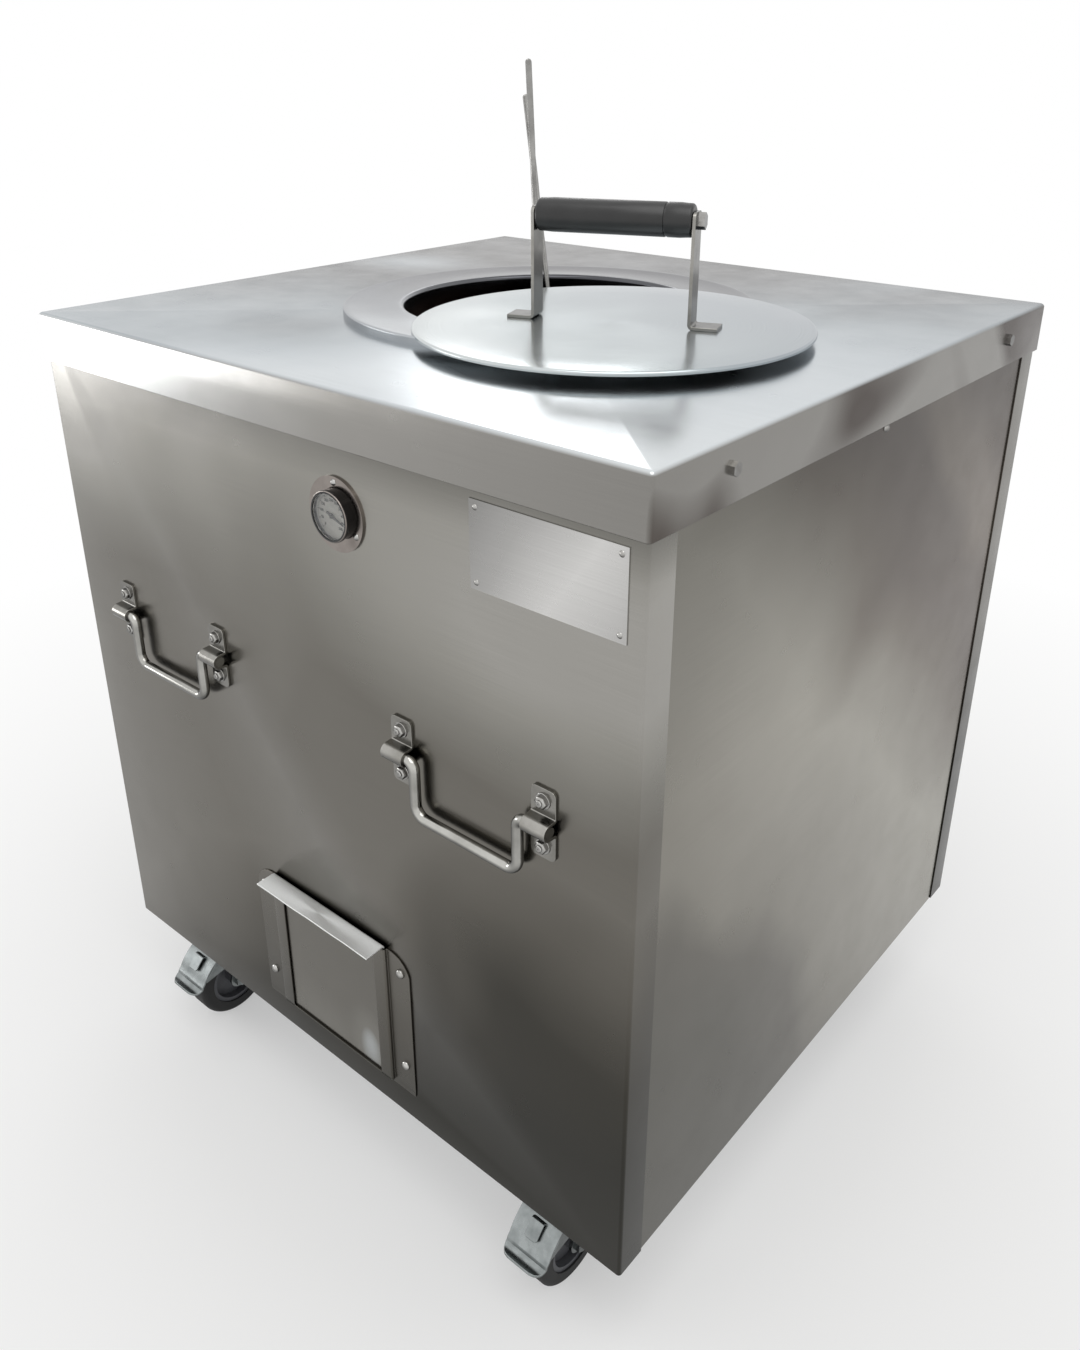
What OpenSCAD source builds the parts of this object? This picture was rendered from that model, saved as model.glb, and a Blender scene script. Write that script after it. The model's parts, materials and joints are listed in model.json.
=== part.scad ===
// Square clay tandoor oven in a stainless-steel casing, on swivel casters.
// Frame: +Z up, front face towards -Y, +X to the right seen from the front.
// Origin: on the floor, at the middle of the part's width and depth.

/* [Cabinet] */
// Width of the cap tray across its skirts
cap_w = 760; // [700:1:900]
// Depth of the cap tray across its skirts
cap_d = 704; // [660:1:900]
// Height of the cabinet from its lower edge to the top of the cap
body_h = 755; // [700:1:850]
// Depth of the cap's skirt
skirt_h = 49; // [40:1:60]
// Thickness of every casing sheet
sheet = 1.5; // [1:0.1:2]
// Gap between the cap's skirt and the panels
cap_fit = 1.5; // [0.5:0.1:4]
// Outer radius of the cap's top bend
cap_bend_r = 4; // [3:0.5:6]
// Width of the corner returns of the front and back panels
return_w = 33; // [25:1:38]
// Room for nuts between the panels and the insulation
nut_room = 9; // [8:0.5:15]

/* [Frame] */
// Leg width of the frame's angle iron
angle_w = 40; // [30:1:45]
// Thickness of the frame's angle iron
angle_t = 3; // [2.5:0.5:5]
// Height of the floor pan
pan_h = 11.5; // [10:0.5:20]

/* [Casters] */
// Height from the floor to the underside of the frame
caster_h = 125; // [122:1:130]
// Diameter of a caster wheel
wheel_d = 100; // [92:1:101]
// Width of a tyre
wheel_w = 32; // [26:1:36]
// Radius where the tyre meets the hub
rim_r = 35; // [30:0.5:38]
// Offset of the wheel from its swivel axis
trail = 35; // [30:1:40]
// Swivel axis from the side edge of the cap
caster_in_x = 105; // [95:1:125]
// Swivel axis from the front or back edge of the cap
caster_in_y = 85; // [75:1:110]
// Width of a caster's mounting plate
plate_w = 100; // [90:1:110]
// Depth of a caster's mounting plate
plate_d = 80; // [70:1:90]
// Bolt spacing across a mounting plate
plate_bolts_x = 80; // [76:1:84]
// Bolt spacing along a mounting plate
plate_bolts_y = 56; // [52:1:62]
// Thickness of the plate, the fork and the pedal
caster_t = 3; // [2.5:0.1:3.5]
// Radius of a wheel's axle
axle_r = 5; // [4:0.5:6]
// Radius of the swivel pin
kingpin_r = 6; // [5:0.5:7]
// Width of a brake pedal
pedal_w = 50; // [46:1:56]

/* [Clay pot] */
// Thickness of the clay wall
pot_wall = 38; // [30:1:45]
// Inner radius of the pot's mouth
pot_mouth_r = 153; // [151:1:160]
// Inner radius at the pot's belly
pot_belly_r = 232; // [215:1:240]
// Inner radius at the pot's foot
pot_foot_r = 205; // [190:1:215]
// Height of the belly above the foot
pot_belly_z = 210; // [180:5:260]
// Gap between the pot's rim and the cap
pot_rim_gap = 6; // [3:0.5:12]
// Thickness of the slab that the pot stands on
slab_t = 40; // [30:1:42]

/* [Mouth ring] */
// Outer radius of the mouth ring
ring_r = 209; // [200:1:220]
// Radius of the mouth
mouth_r = 148; // [144:0.5:149]
// Height of the ring's rim above the cap
ring_rise = 8; // [6:0.5:10]
// Fall of the ring from its rim to the mouth's edge
ring_fall = 0.5; // [0:0.5:3]
// Depth of the collar below the cap
collar_h = 30; // [15:1:35]

/* [Lid] */
// Radius of the lid
lid_r = 184.5; // [175:0.5:190]
// Depth of the lid's skirt
lid_skirt = 4; // [3:0.5:8]
// Offset of the lid from the mouth towards the right
lid_x = 127.5; // [0:0.5:150]
// Offset of the lid from the mouth towards the back
lid_y = -61.5; // [-90:0.5:0]
// Turn of the lid's handle about the vertical
lid_turn = 21; // [0:1:45]
// Length of the handle's grip
grip_l = 144; // [120:1:160]
// Diameter of the grip
grip_d = 30; // [26:1:34]
// Height of the grip's centre above the lid
grip_z = 93; // [70:1:110]
// Width of the handle's strap legs
strap_w = 25; // [20:1:30]
// Thickness of the handle's strap legs
strap_t = 3; // [2:0.5:4]
// Length of a strap's foot
foot_l = 27; // [20:1:32]

/* [Drop handles] */
// Middle of each drop handle from the cap's side edge
handle_in = 169; // [160:1:180]
// Height of the bail's pivot above the cabinet's lower edge
handle_z = 448; // [420:1:500]
// Distance between the two saddles of a handle
saddle_span = 158; // [150:1:170]
// Length of a saddle strap
saddle_l = 65; // [58:1:75]
// Width of a saddle strap
saddle_w = 25; // [20:1:28]
// Distance between the two bolts of a saddle
saddle_bolts = 42; // [40:1:46]
// Radius of the bail's rod
bail_r = 5; // [4:0.5:5.5]
// Distance between the bail's legs
bail_w = 116; // [106:1:118]
// Drop of the bail's bar below its pivot
bail_drop = 53; // [45:1:70]
// Pivot height above the panel
bail_out = 9; // [7.5:0.5:12]

/* [Draught door] */
// Middle of the door, to the right of the cabinet's middle
door_x = 6; // [-20:1:20]
// Width of the sliding plate
door_w = 168; // [150:1:180]
// Height of the sliding plate
door_h = 170; // [150:1:180]
// Lower edge of the plate above the cabinet's lower edge
door_z = 41; // [41:1:60]
// Depth of the door's folded lip
door_lip = 22; // [12:1:25]
// Gap between the panel and the sliding plate
door_back = 2; // [1.5:0.5:6]
// Overall width of the guide frame
guide_w = 232; // [225:1:250]
// Width of the draught opening
draught_w = 130; // [100:1:135]
// Height of the draught opening
draught_h = 130; // [100:1:135]

/* [Thermometer] */
// Middle of the dial, to the right of the cabinet's middle
gauge_x = 66.5; // [40:0.5:90]
// Depth of the dial's middle below the cap's top
gauge_drop = 107; // [95:1:125]
// Radius of the panel flange
gauge_flange_r = 33; // [31:0.5:37]
// Radius of the gauge's case
gauge_case_r = 21.5; // [20:0.5:22.5]
// How far the case stands out of the flange
gauge_case_h = 8; // [7.5:0.5:14]
// Radius of the probe
probe_r = 4; // [3:0.5:5]
// Rest reading of the pointer, clockwise from the top
pointer_rest = 112; // [90:1:130]

/* [Rating plate] */
// Middle of the blank plate from the cap's right edge
label_in = 90; // [88:1:100]
// Depth of the plate's middle below the cap's top
label_drop = 92; // [91:1:105]
// Width of the plate
label_w = 145; // [120:1:150]
// Height of the plate
label_h = 72; // [60:1:76]

/* [Bread rods] */
// Length of the hooked rod
hook_l = 934; // [880:1:960]
// Length of the scraper rod
scraper_l = 921; // [880:1:960]
// Radius of both rods
rod_r = 3; // [2.5:0.1:3]
// Length of the flattened handle end
paddle_l = 90; // [60:1:120]
// Width of the flattened handle end
paddle_w = 7; // [6.5:0.5:7.5]

/* [Hidden] */
$fn = 48;
eps = 0.01;

// Clearances
rest_gap = 0.3;         // between a loose piece and its seat
pin_fit = 0.06;         // radial, of a pin in its bore
bolt_fit = 0.5;         // radial, of a bolt in its hole
slide_fit = 0.5;        // of the door in its guides
clay_fit = 0.5;         // between the clay and its surroundings
panel_drop = 0.5;       // of the panels' upper edges, clear of the cap's inner bend
weld_gap = 0.1;         // between two frame members that butt together

// Cabinet
body_w = cap_w - 2 * (sheet + cap_fit);
body_d = cap_d - 2 * (sheet + cap_fit);
body_z = caster_h;
cap_z = body_z + body_h;
frame_h = body_h - sheet;
panel_h = frame_h - panel_drop;
front_y = -body_d / 2;
cage_w = body_w - 4 * sheet;            // outside of the angle frame
cage_d = body_d - 2 * sheet;
side_x = body_w / 2 - sheet;            // outer face of a side panel
front_reach = door_back + sheet + door_lip - (sheet + cap_fit);
skirt_z = cap_z - skirt_h;

// Frame and floor
pan_z = body_z + angle_t;
slab_z = pan_z + pan_h;
fill_w = cage_w - 2 * nut_room;
fill_d = body_d - 2 * (sheet + nut_room);
fill_top = cap_z - sheet - angle_w - 5;
gusset_w = caster_in_x + plate_w / 2;
gusset_d = caster_in_y + plate_d / 2 + 10;

// Fasteners: radius of shank, radius and height of head
m8 = 4;
m8_head_r = 7.5;
m8_head_h = 5.3;
m6 = 3;
m6_head_r = 5.8;
m6_head_h = 4;
m6_nut_h = 5;
m4 = 2;
m4_head_r = 4;
m4_head_h = 2.4;
cap_bolt_in = 96;                       // from the cap's front or back edge
cap_bolt_y = cap_d / 2 - cap_bolt_in;
side_screw_l = 7;
side_screw_z = skirt_z - 5;

// Pot
pot_z = slab_z + slab_t;
pot_h = cap_z - sheet - pot_rim_gap - pot_z;
slab_r = pot_foot_r + pot_wall + 10;
POT_STEPS = 12;

// Lid
lid_z = cap_z + ring_rise + rest_gap;
lid_top = lid_z + lid_skirt;
grip_bolt_r = 4;
grip_head = [6.5, 3.5];                 // radius and height of the domed head
grip_nut = [7.5, 6.5];
leg_h = grip_z + 8;

// Draught
draught_sill = 20;                      // above the door's lower edge
draught_z = body_z + door_z + draught_sill;
draught_mid_z = draught_z + draught_h / 2;
plate_y = front_y - door_back;          // back face of the sliding plate
guide_y = plate_y - sheet - slide_fit;  // inner face of the guide lips
guide_side = 1;                         // side clearance of the plate
guide_over = 14;                        // how far a lip covers the plate
guide_z = body_z + door_z - rest_gap - sheet;
guide_h = 168;
guide_foot = 5;
guide_screw_z = [30, 148];
guide_screw_in = 12;
duct_end_y = -(pot_belly_r + 8);

// Thermometer
gauge_z = body_h - gauge_drop;
gauge_flange_t = 2;
gauge_wall = 1.5;
dial_t = 1;
glass_t = 1.5;
gauge_bolt_r = (gauge_case_r + gauge_flange_r) / 2 + 0.5;
gauge_hole_r = 5.5;
pointer_l = 15;
pointer_tail = 6;
pointer_lift = 0.7;                     // above the dial
gauge_y = front_y - gauge_flange_t;     // front of the flange
probe_end_y = -134;
spindle_r = 1;

// Saddles
saddle_t = 2.5;
tunnel_r = bail_r + pin_fit;
saddle_in = (saddle_span - saddle_w) / 2;
bail_bend = saddle_in - bail_w / 2 - 0.5;
bail_corner = 12;
bail_end = (saddle_span + saddle_w) / 2;

// Rating plate
label_x = cap_w / 2 - label_in;
label_z = body_h - label_drop;
label_t = 1;
rivet_r = 2.5;
rivet_in = 6;

// Rods: polar places of the foot on the slab and of the touch at the mouth
hook_foot = [85, 117.5];
hook_touch = 135.3;
scraper_foot = [83.5, 42.1];
scraper_touch = 131.5;
mouth_rise = ring_rise - ring_fall;
touch_z = cap_z + mouth_rise;
touch_r = mouth_r - rod_r - 0.7;
rod_foot_z = pot_z + 1;
hook_bend_r = 12;
blade_w = 8;
blade_l = 40;
paddle_t = 3;

// Casters, in their own frame: the swivel axis is Z, the wheel trails to -Y
CORNERS = [[-1, -1], [1, -1], [-1, 1], [1, 1]];
caster_x = cap_w / 2 - caster_in_x;
caster_y = cap_d / 2 - caster_in_y;
wheel_r = wheel_d / 2;
fork_gap = 1;                            // between the tyre and each leg
fork_in = wheel_w / 2 + fork_gap;
fork_out = fork_in + caster_t;
race_r = 30;
race_h = 6;
swivel_gap = 0.3;
crown_z = caster_h - caster_t - race_h - swivel_gap;
crown_r = 28;
crown_back = 22;
crown_front = 32;
axle_boss = 12;
kingpin_head_r = 11;
kingpin_head_h = 4;
pedal_t = 2.5;
pedal_pivot = [-24, crown_z - 24];
pedal_pin_r = 3;
pedal_pin_l = pedal_w / 2 - fork_out;
shoe_gap = 7;                            // pedal sheet above the tyre
shoe_arc = [62, 28];                     // the sheet's ends, in degrees round the wheel
tread_l = 20;

// ---------- helpers ----------

// Moves from the cabinet's middle to the middle of the whole part
module cab() {
    translate([0, front_reach / 2, 0]) children();
}

// Box from its middle in X and Y, and from its lower face in Z
module slab(w, d, h, z = 0) {
    translate([-w / 2, -d / 2, z]) cube([w, d, h]);
}

// Hollow box without top and bottom
module box_ring(w, d, h, t, z) {
    difference() {
        slab(w, d, h, z);
        slab(w - 2 * t, d - 2 * t, h + 2 * eps, z - eps);
    }
}

// Points the Z axis of its children out of the front face
module out_of_front(x, z, y = front_y) {
    translate([x, y, z]) rotate([90, 0, 0]) children();
}

// Points the Z axis of its children along X
module along_x() {
    rotate([0, 90, 0]) children();
}

// Cylinder along X, centred on its place
module bar_x(r, l) {
    along_x() cylinder(r = r, h = l, center = true);
}

// Domed head on the plane z = 0
module dome(r, h) {
    rotate_extrude() intersection() {
        translate([0, h - (r * r + h * h) / (2 * h)]) circle(r = (r * r + h * h) / (2 * h), $fn = 96);
        square([r, h]);
    }
}

// Hexagon prism on the plane z = 0, sized by its corner radius
module hexagon(r, h) {
    cylinder(r = r, h = h, $fn = 6);
}

// Shank and nut of a bolt through a sheet, below the head that stands on z = 0
module shank_and_nut(r, grip, nut_h) {
    translate([0, 0, -grip - nut_h]) cylinder(r = r, h = grip + nut_h + eps);
    translate([0, 0, -grip - nut_h]) hexagon(r * 1.9, nut_h);
}

// Bolt with a hexagon head
module hex_bolt(r, head_r, head_h, grip, nut_h) {
    hexagon(head_r, head_h);
    shank_and_nut(r, grip, nut_h);
}

// Bolt with a domed head
module dome_bolt(r, head_r, head_h, grip, nut_h) {
    dome(head_r, head_h);
    shank_and_nut(r, grip, nut_h);
}

// Outline of a sheet-metal tray's top: square sides with two round upper corners
module tray_outline(w, h, r) {
    translate([-w / 2, -h]) square([w, h - r]);
    translate([-w / 2 + r, -h]) square([w - 2 * r, h]);
    for (s = [-1, 1]) translate([s * (w / 2 - r), -r]) circle(r = r);
}

// Solid tray body with both pairs of top edges rounded, its top at z = 0
module tray_body(w, d, h, r) {
    intersection() {
        translate([0, d / 2, 0]) rotate([90, 0, 0]) linear_extrude(d) tray_outline(w, h, r);
        translate([-w / 2, 0, 0]) rotate([90, 0, 90]) linear_extrude(w) tray_outline(d, h, r);
    }
}

// ---------- frame and floor ----------

// Ring of four angle irons, with their flat legs on the plane flat_z
module angle_ring(z, flat_z) {
    side_l = cage_d - 2 * (angle_w + weld_gap);
    for (s = [-1, 1]) {
        translate([0, s * (cage_d - angle_t) / 2, 0]) slab(cage_w, angle_t, angle_w, z);
        translate([0, s * (cage_d - angle_w) / 2, 0]) slab(cage_w, angle_w, angle_t, flat_z);
        translate([s * (cage_w - angle_t) / 2, 0, 0]) slab(angle_t, side_l, angle_w, z);
        translate([s * (cage_w - angle_w) / 2, 0, 0]) slab(angle_w, side_l, angle_t, flat_z);
    }
}

// Upright angle iron between the two rings
module corner_post(sx, sy) {
    for (leg = [[angle_w, angle_t], [angle_t, angle_w]])
        translate([sx * (cage_w - leg[0]) / 2, sy * (cage_d - leg[1]) / 2, 0])
            slab(leg[0], leg[1], frame_h - 2 * (angle_w + weld_gap), body_z + angle_w + weld_gap);
}

// Plate in a corner of the lower ring, which a caster is bolted to
module caster_gusset(sx, sy) {
    inset = angle_w + weld_gap;
    w = gusset_w - (cap_w - cage_w) / 2 - inset;
    d = gusset_d - (cap_d - cage_d) / 2 - inset;
    translate([sx * (cage_w / 2 - inset - w / 2), sy * (cage_d / 2 - inset - d / 2), 0])
        slab(w, d, angle_t, body_z);
}

module plate_bolt_places() {
    for (c = CORNERS, bx = [-1, 1], by = [-1, 1])
        translate([c[0] * caster_x + bx * plate_bolts_x / 2,
                   c[1] * caster_y + by * plate_bolts_y / 2, 0]) children();
}

module cap_bolt_places() {
    for (s = [-1, 1], e = [-1, 1])
        translate([s * cap_w / 2, e * cap_bolt_y, cap_z - skirt_h * 0.45])
            rotate([0, s * 90, 0]) children();
}

module lower_frame() {
    color("dimgray") cab() difference() {
        union() {
            angle_ring(body_z, body_z);
            for (c = CORNERS) caster_gusset(c[0], c[1]);
        }
        plate_bolt_places() translate([0, 0, body_z - eps])
            cylinder(r = m8 + bolt_fit, h = angle_t + 2 * eps);
        for (c = CORNERS) translate([c[0] * caster_x, c[1] * caster_y, body_z - eps])
            cylinder(r = kingpin_r + bolt_fit, h = angle_t + 2 * eps);
    }
}

module upper_frame() {
    top_z = body_z + frame_h;
    color("dimgray") cab() difference() {
        union() {
            angle_ring(top_z - angle_w, top_z - angle_t);
            for (c = CORNERS) corner_post(c[0], c[1]);
        }
        cap_bolt_places() translate([0, 0, -cap_w * 0.02])
            cylinder(r = m6 + bolt_fit, h = cap_w * 0.02);
    }
}

module floor_pan() {
    w = cage_w - 2 * (angle_t + 1);
    d = cage_d - 2 * (angle_t + 1);
    color("silver") cab() difference() {
        slab(w, d, pan_h, pan_z);
        slab(w - 2 * sheet, d - 2 * sheet, pan_h - sheet, pan_z - eps);
    }
}

// ---------- clay pot and its packing ----------

// Smooth step from 0 to 1
function ease(t) = (1 - cos(180 * t)) / 2;

// Inner radius of the pot at a height above its foot
function pot_r(z) = z < pot_belly_z
    ? pot_foot_r + (pot_belly_r - pot_foot_r) * sin(90 * z / pot_belly_z)
    : pot_belly_r + (pot_mouth_r - pot_belly_r) * ease((z - pot_belly_z) / (pot_h - pot_belly_z));

function pot_side(extra) = [for (i = [0:POT_STEPS])
    [pot_r(pot_h * i / POT_STEPS) + extra, pot_h * i / POT_STEPS]];

// Outside of the pot, grown by a clearance
module pot_outside(grow) {
    rotate_extrude($fn = 96) polygon(concat(
        [[0, 0]], pot_side(pot_wall + grow), [[0, pot_h]]));
}

module hearth_slab() {
    color("rosybrown") cab() translate([0, 0, slab_z]) cylinder(r = slab_r, h = slab_t, $fn = 96);
}

// Space that the draught duct takes, grown by a clearance
module duct_space(grow, y_from, y_to) {
    w = draught_w + 2 * (sheet + grow);
    h = draught_h + 2 * (sheet + grow);
    translate([door_x - w / 2, y_from, draught_mid_z - h / 2]) cube([w, y_to - y_from, h]);
}

module probe_space(grow) {
    out_of_front(gauge_x, body_z + gauge_z, 0)
        cylinder(r = probe_r + grow, h = body_d / 2);
}

module clay_pot() {
    color("sienna") cab() difference() {
        translate([0, 0, pot_z]) rotate_extrude($fn = 96) polygon(concat(
            pot_side(0), [for (i = [POT_STEPS:-1:0]) pot_side(pot_wall)[i]]));
        duct_space(clay_fit, front_y, 0);
        probe_space(clay_fit);
    }
}

module insulation_fill() {
    color("khaki") cab() difference() {
        slab(fill_w, fill_d, fill_top - slab_z, slab_z);
        translate([0, 0, slab_z - eps]) cylinder(r = slab_r + clay_fit, h = slab_t + 2 * eps, $fn = 96);
        translate([0, 0, pot_z]) pot_outside(clay_fit);
        duct_space(clay_fit, front_y, 0);
        probe_space(clay_fit);
    }
}

// ---------- casing ----------

module saddle_bolt_places() {
    for (side = [-1, 1], end = [-1, 1], up = [-1, 1])
        out_of_front(side * (cap_w / 2 - handle_in) + end * saddle_span / 2,
                     body_z + handle_z + up * saddle_bolts / 2) children();
}

module guide_screw_places() {
    for (side = [-1, 1], z = guide_screw_z)
        out_of_front(door_x + side * (guide_w / 2 - guide_screw_in), guide_z + z) children();
}

module gauge_screw_places() {
    for (a = [90, 210, 330])
        out_of_front(gauge_x, body_z + gauge_z) rotate([0, 0, a]) translate([gauge_bolt_r, 0, 0])
            children();
}

module rivet_places() {
    for (sx = [-1, 1], sz = [-1, 1])
        out_of_front(label_x + sx * (label_w / 2 - rivet_in),
                     body_z + label_z + sz * (label_h / 2 - rivet_in)) children();
}

// Hole from the front, through every sheet that lies behind its place
module front_hole(r, depth = 3) {
    translate([0, 0, -sheet - depth]) cylinder(r = r, h = sheet + 2 * depth);
}

// Face sheet with a return at each side, seen as lying along -Y
module wrapped_panel() {
    difference() {
        translate([0, front_y + return_w / 2, 0]) slab(body_w, return_w, panel_h, body_z);
        translate([0, front_y + sheet + return_w / 2, 0])
            slab(body_w - 2 * sheet, return_w, panel_h + 2 * eps, body_z - eps);
    }
}

module front_panel() {
    color("lightgray") cab() difference() {
        wrapped_panel();
        translate([door_x, front_y, draught_z]) slab(draught_w, 4 * sheet, draught_h);
        out_of_front(gauge_x, body_z + gauge_z) front_hole(gauge_hole_r);
        saddle_bolt_places() front_hole(m6 + bolt_fit);
        guide_screw_places() front_hole(m4 + bolt_fit);
        gauge_screw_places() front_hole(m4 + bolt_fit);
        rivet_places() front_hole(rivet_r * 0.6 + bolt_fit);
    }
}

module back_panel() {
    color("lightgray") cab() mirror([0, 1, 0]) wrapped_panel();
}

// Flat side sheet behind the corner returns
module side_panel(side) {
    color("silver") cab() difference() {
        translate([side * (side_x - sheet / 2), 0, 0]) slab(sheet, cage_d, panel_h, body_z);
        cap_bolt_places() translate([0, 0, -cap_w * 0.02])
            cylinder(r = m6 + bolt_fit, h = cap_w * 0.02);
        side_screw_places() translate([0, 0, -2 * sheet])
            cylinder(r = m4 + bolt_fit, h = 3 * sheet);
    }
}

module side_screw_places() {
    for (s = [-1, 1]) translate([s * side_x, 0, side_screw_z]) rotate([0, s * 90, 0]) children();
}

module side_screws() {
    color("gainsboro") cab() side_screw_places() {
        dome(m4_head_r, m4_head_h);
        translate([0, 0, -side_screw_l]) cylinder(r = m4, h = side_screw_l + eps);
    }
}

module cap_tray() {
    color("gainsboro") cab() difference() {
        translate([0, 0, cap_z]) tray_body(cap_w, cap_d, skirt_h, cap_bend_r);
        translate([0, 0, cap_z - sheet])
            tray_body(cap_w - 2 * sheet, cap_d - 2 * sheet, skirt_h, cap_bend_r - sheet);
        translate([0, 0, cap_z - 2 * sheet]) cylinder(r = mouth_r + 2 * sheet, h = 3 * sheet, $fn = 96);
        cap_bolt_places() translate([0, 0, -2 * sheet])
            cylinder(r = m6 + bolt_fit, h = 3 * sheet);
    }
}

module cap_bolts() {
    grip = cap_w / 2 - cage_w / 2 + angle_t;
    color("gainsboro") cab() cap_bolt_places() hex_bolt(m6, m6_head_r, m6_head_h, grip, m6_nut_h);
}

module mouth_ring() {
    lip = 4;
    color("whitesmoke") cab() translate([0, 0, cap_z]) rotate_extrude($fn = 96) polygon([
        [ring_r, 0], [ring_r, ring_rise], [ring_r - lip, ring_rise],
        [mouth_r + lip, mouth_rise], [mouth_r, mouth_rise - sheet], [mouth_r, -collar_h],
        [mouth_r + sheet, -collar_h], [mouth_r + sheet, mouth_rise - 2 * sheet],
        [mouth_r + lip, mouth_rise - sheet], [ring_r - lip, ring_rise - sheet],
        [ring_r - sheet, ring_rise - sheet], [ring_r - sheet, 0]
    ]);
}

// ---------- draught duct and door ----------

module draught_duct() {
    y0 = front_y + sheet;
    color("darkgray") cab() difference() {
        duct_space(0, y0, duct_end_y);
        duct_space(-sheet, y0 - eps, duct_end_y + eps);
    }
}

// One guide: foot on the panel, a step out, and a lip over the plate's edge
module guide_rail(side) {
    web = door_w / 2 + guide_side;
    span = guide_w / 2 - web;
    scale_side = side > 0 ? 0 : 1;
    translate([door_x, 0, guide_z]) mirror([scale_side, 0, 0]) {
        translate([web, front_y - sheet, 0]) cube([span, sheet, guide_h]);
        translate([web, guide_y - sheet, 0]) cube([sheet, front_y - guide_y + sheet, guide_h]);
        translate([web + sheet - guide_over - guide_side - sheet, guide_y - sheet, 0])
            cube([guide_over + guide_side + sheet, sheet, guide_h]);
    }
}

module draught_frame() {
    color("darkgray") cab() difference() {
        union() {
            guide_rail(-1);
            guide_rail(1);
            translate([door_x - guide_w / 2, front_y - sheet, guide_z - guide_foot])
                cube([guide_w, sheet, guide_foot + eps]);
            translate([door_x - guide_w / 2, guide_y - sheet, guide_z])
                cube([guide_w, front_y - guide_y + sheet, sheet]);
        }
        guide_screw_places() translate([0, 0, -eps]) cylinder(r = m4 + bolt_fit, h = 2 * sheet);
    }
}

module draught_screws() {
    color("gainsboro") cab() guide_screw_places() translate([0, 0, sheet])
        dome_bolt(m4, m4_head_r, m4_head_h, 2 * sheet, 4);
}

module draught_door() {
    z = body_z + door_z;
    color("silver") cab() {
        translate([door_x - door_w / 2, plate_y - sheet, z]) cube([door_w, sheet, door_h]);
        translate([door_x - door_w / 2, plate_y - sheet - door_lip, z + door_h - sheet])
            cube([door_w, door_lip + eps, sheet]);
    }
}

// ---------- thermometer ----------

// Places its children on the dial's axis, z = 0 on the front of the flange
module on_gauge() {
    cab() out_of_front(gauge_x, body_z + gauge_z, gauge_y) children();
}

module gauge_flange() {
    color("gainsboro") difference() {
        on_gauge() translate([0, 0, -gauge_flange_t]) difference() {
            cylinder(r = gauge_flange_r, h = gauge_flange_t, $fn = 96);
            translate([0, 0, -eps]) cylinder(r = probe_r + pin_fit, h = gauge_flange_t + 2 * eps);
        }
        cab() gauge_screw_places() translate([0, 0, -eps])
            cylinder(r = m4 + bolt_fit, h = 2 * gauge_flange_t);
    }
}

module gauge_case() {
    bead = 1;
    inner_r = gauge_case_r - gauge_wall;
    dial_z = gauge_wall + dial_t;
    color("black") on_gauge() {
        rotate_extrude($fn = 96) polygon([
            [0, 0], [gauge_case_r, 0], [gauge_case_r, gauge_case_h - 3],
            [gauge_case_r + bead, gauge_case_h - 3], [gauge_case_r + bead, gauge_case_h - bead],
            [gauge_case_r, gauge_case_h], [inner_r, gauge_case_h], [inner_r, gauge_wall], [0, gauge_wall]
        ]);
        cylinder(r = spindle_r, h = dial_z + pointer_lift + 1.5);
    }
}

module gauge_dial() {
    color("ivory") on_gauge() translate([0, 0, gauge_wall]) difference() {
        cylinder(r = gauge_case_r - gauge_wall - 0.1, h = dial_t, $fn = 96);
        translate([0, 0, -eps]) cylinder(r = spindle_r + 0.3, h = dial_t + 2 * eps);
    }
}

module gauge_pointer() {
    color("black") on_gauge() rotate([0, 0, 90 - pointer_rest])
        translate([0, 0, gauge_wall + dial_t + pointer_lift]) difference() {
            union() {
                cylinder(r = 2.4, h = 1);
                translate([-pointer_tail, -0.9, 0]) cube([pointer_tail, 1.8, 1]);
                linear_extrude(1) polygon([[0, -0.9], [pointer_l, -0.3], [pointer_l, 0.3], [0, 0.9]]);
            }
            translate([0, 0, -1]) cylinder(r = spindle_r + pin_fit, h = 3);
        }
}

module gauge_glass() {
    color("lightcyan", 0.4) on_gauge()
        translate([0, 0, gauge_case_h - 1 - glass_t])
            cylinder(r = gauge_case_r - gauge_wall - 0.05, h = glass_t, $fn = 96);
}

module gauge_probe() {
    color("silver") cab() translate([gauge_x, gauge_y, body_z + gauge_z]) rotate([-90, 0, 0])
        cylinder(r = probe_r, h = probe_end_y - gauge_y);
}

module gauge_screws() {
    color("gainsboro") cab() gauge_screw_places() translate([0, 0, gauge_flange_t]) {
        dome(3, 1.8);
        translate([0, 0, -gauge_flange_t - sheet - 3]) cylinder(r = m4, h = gauge_flange_t + sheet + 3 + eps);
    }
}

// ---------- rating plate ----------

module name_plate() {
    color("silver") cab() difference() {
        translate([label_x - label_w / 2, front_y - label_t, body_z + label_z - label_h / 2])
            cube([label_w, label_t, label_h]);
        rivet_places() translate([0, 0, -eps]) cylinder(r = rivet_r * 0.6 + bolt_fit, h = 2 * label_t);
    }
}

module plate_rivets() {
    color("gainsboro") cab() rivet_places() translate([0, 0, label_t]) {
        dome(rivet_r, 1.4);
        translate([0, 0, -label_t - sheet]) cylinder(r = rivet_r * 0.6, h = label_t + sheet);
    }
}

// ---------- drop handles ----------

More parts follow.
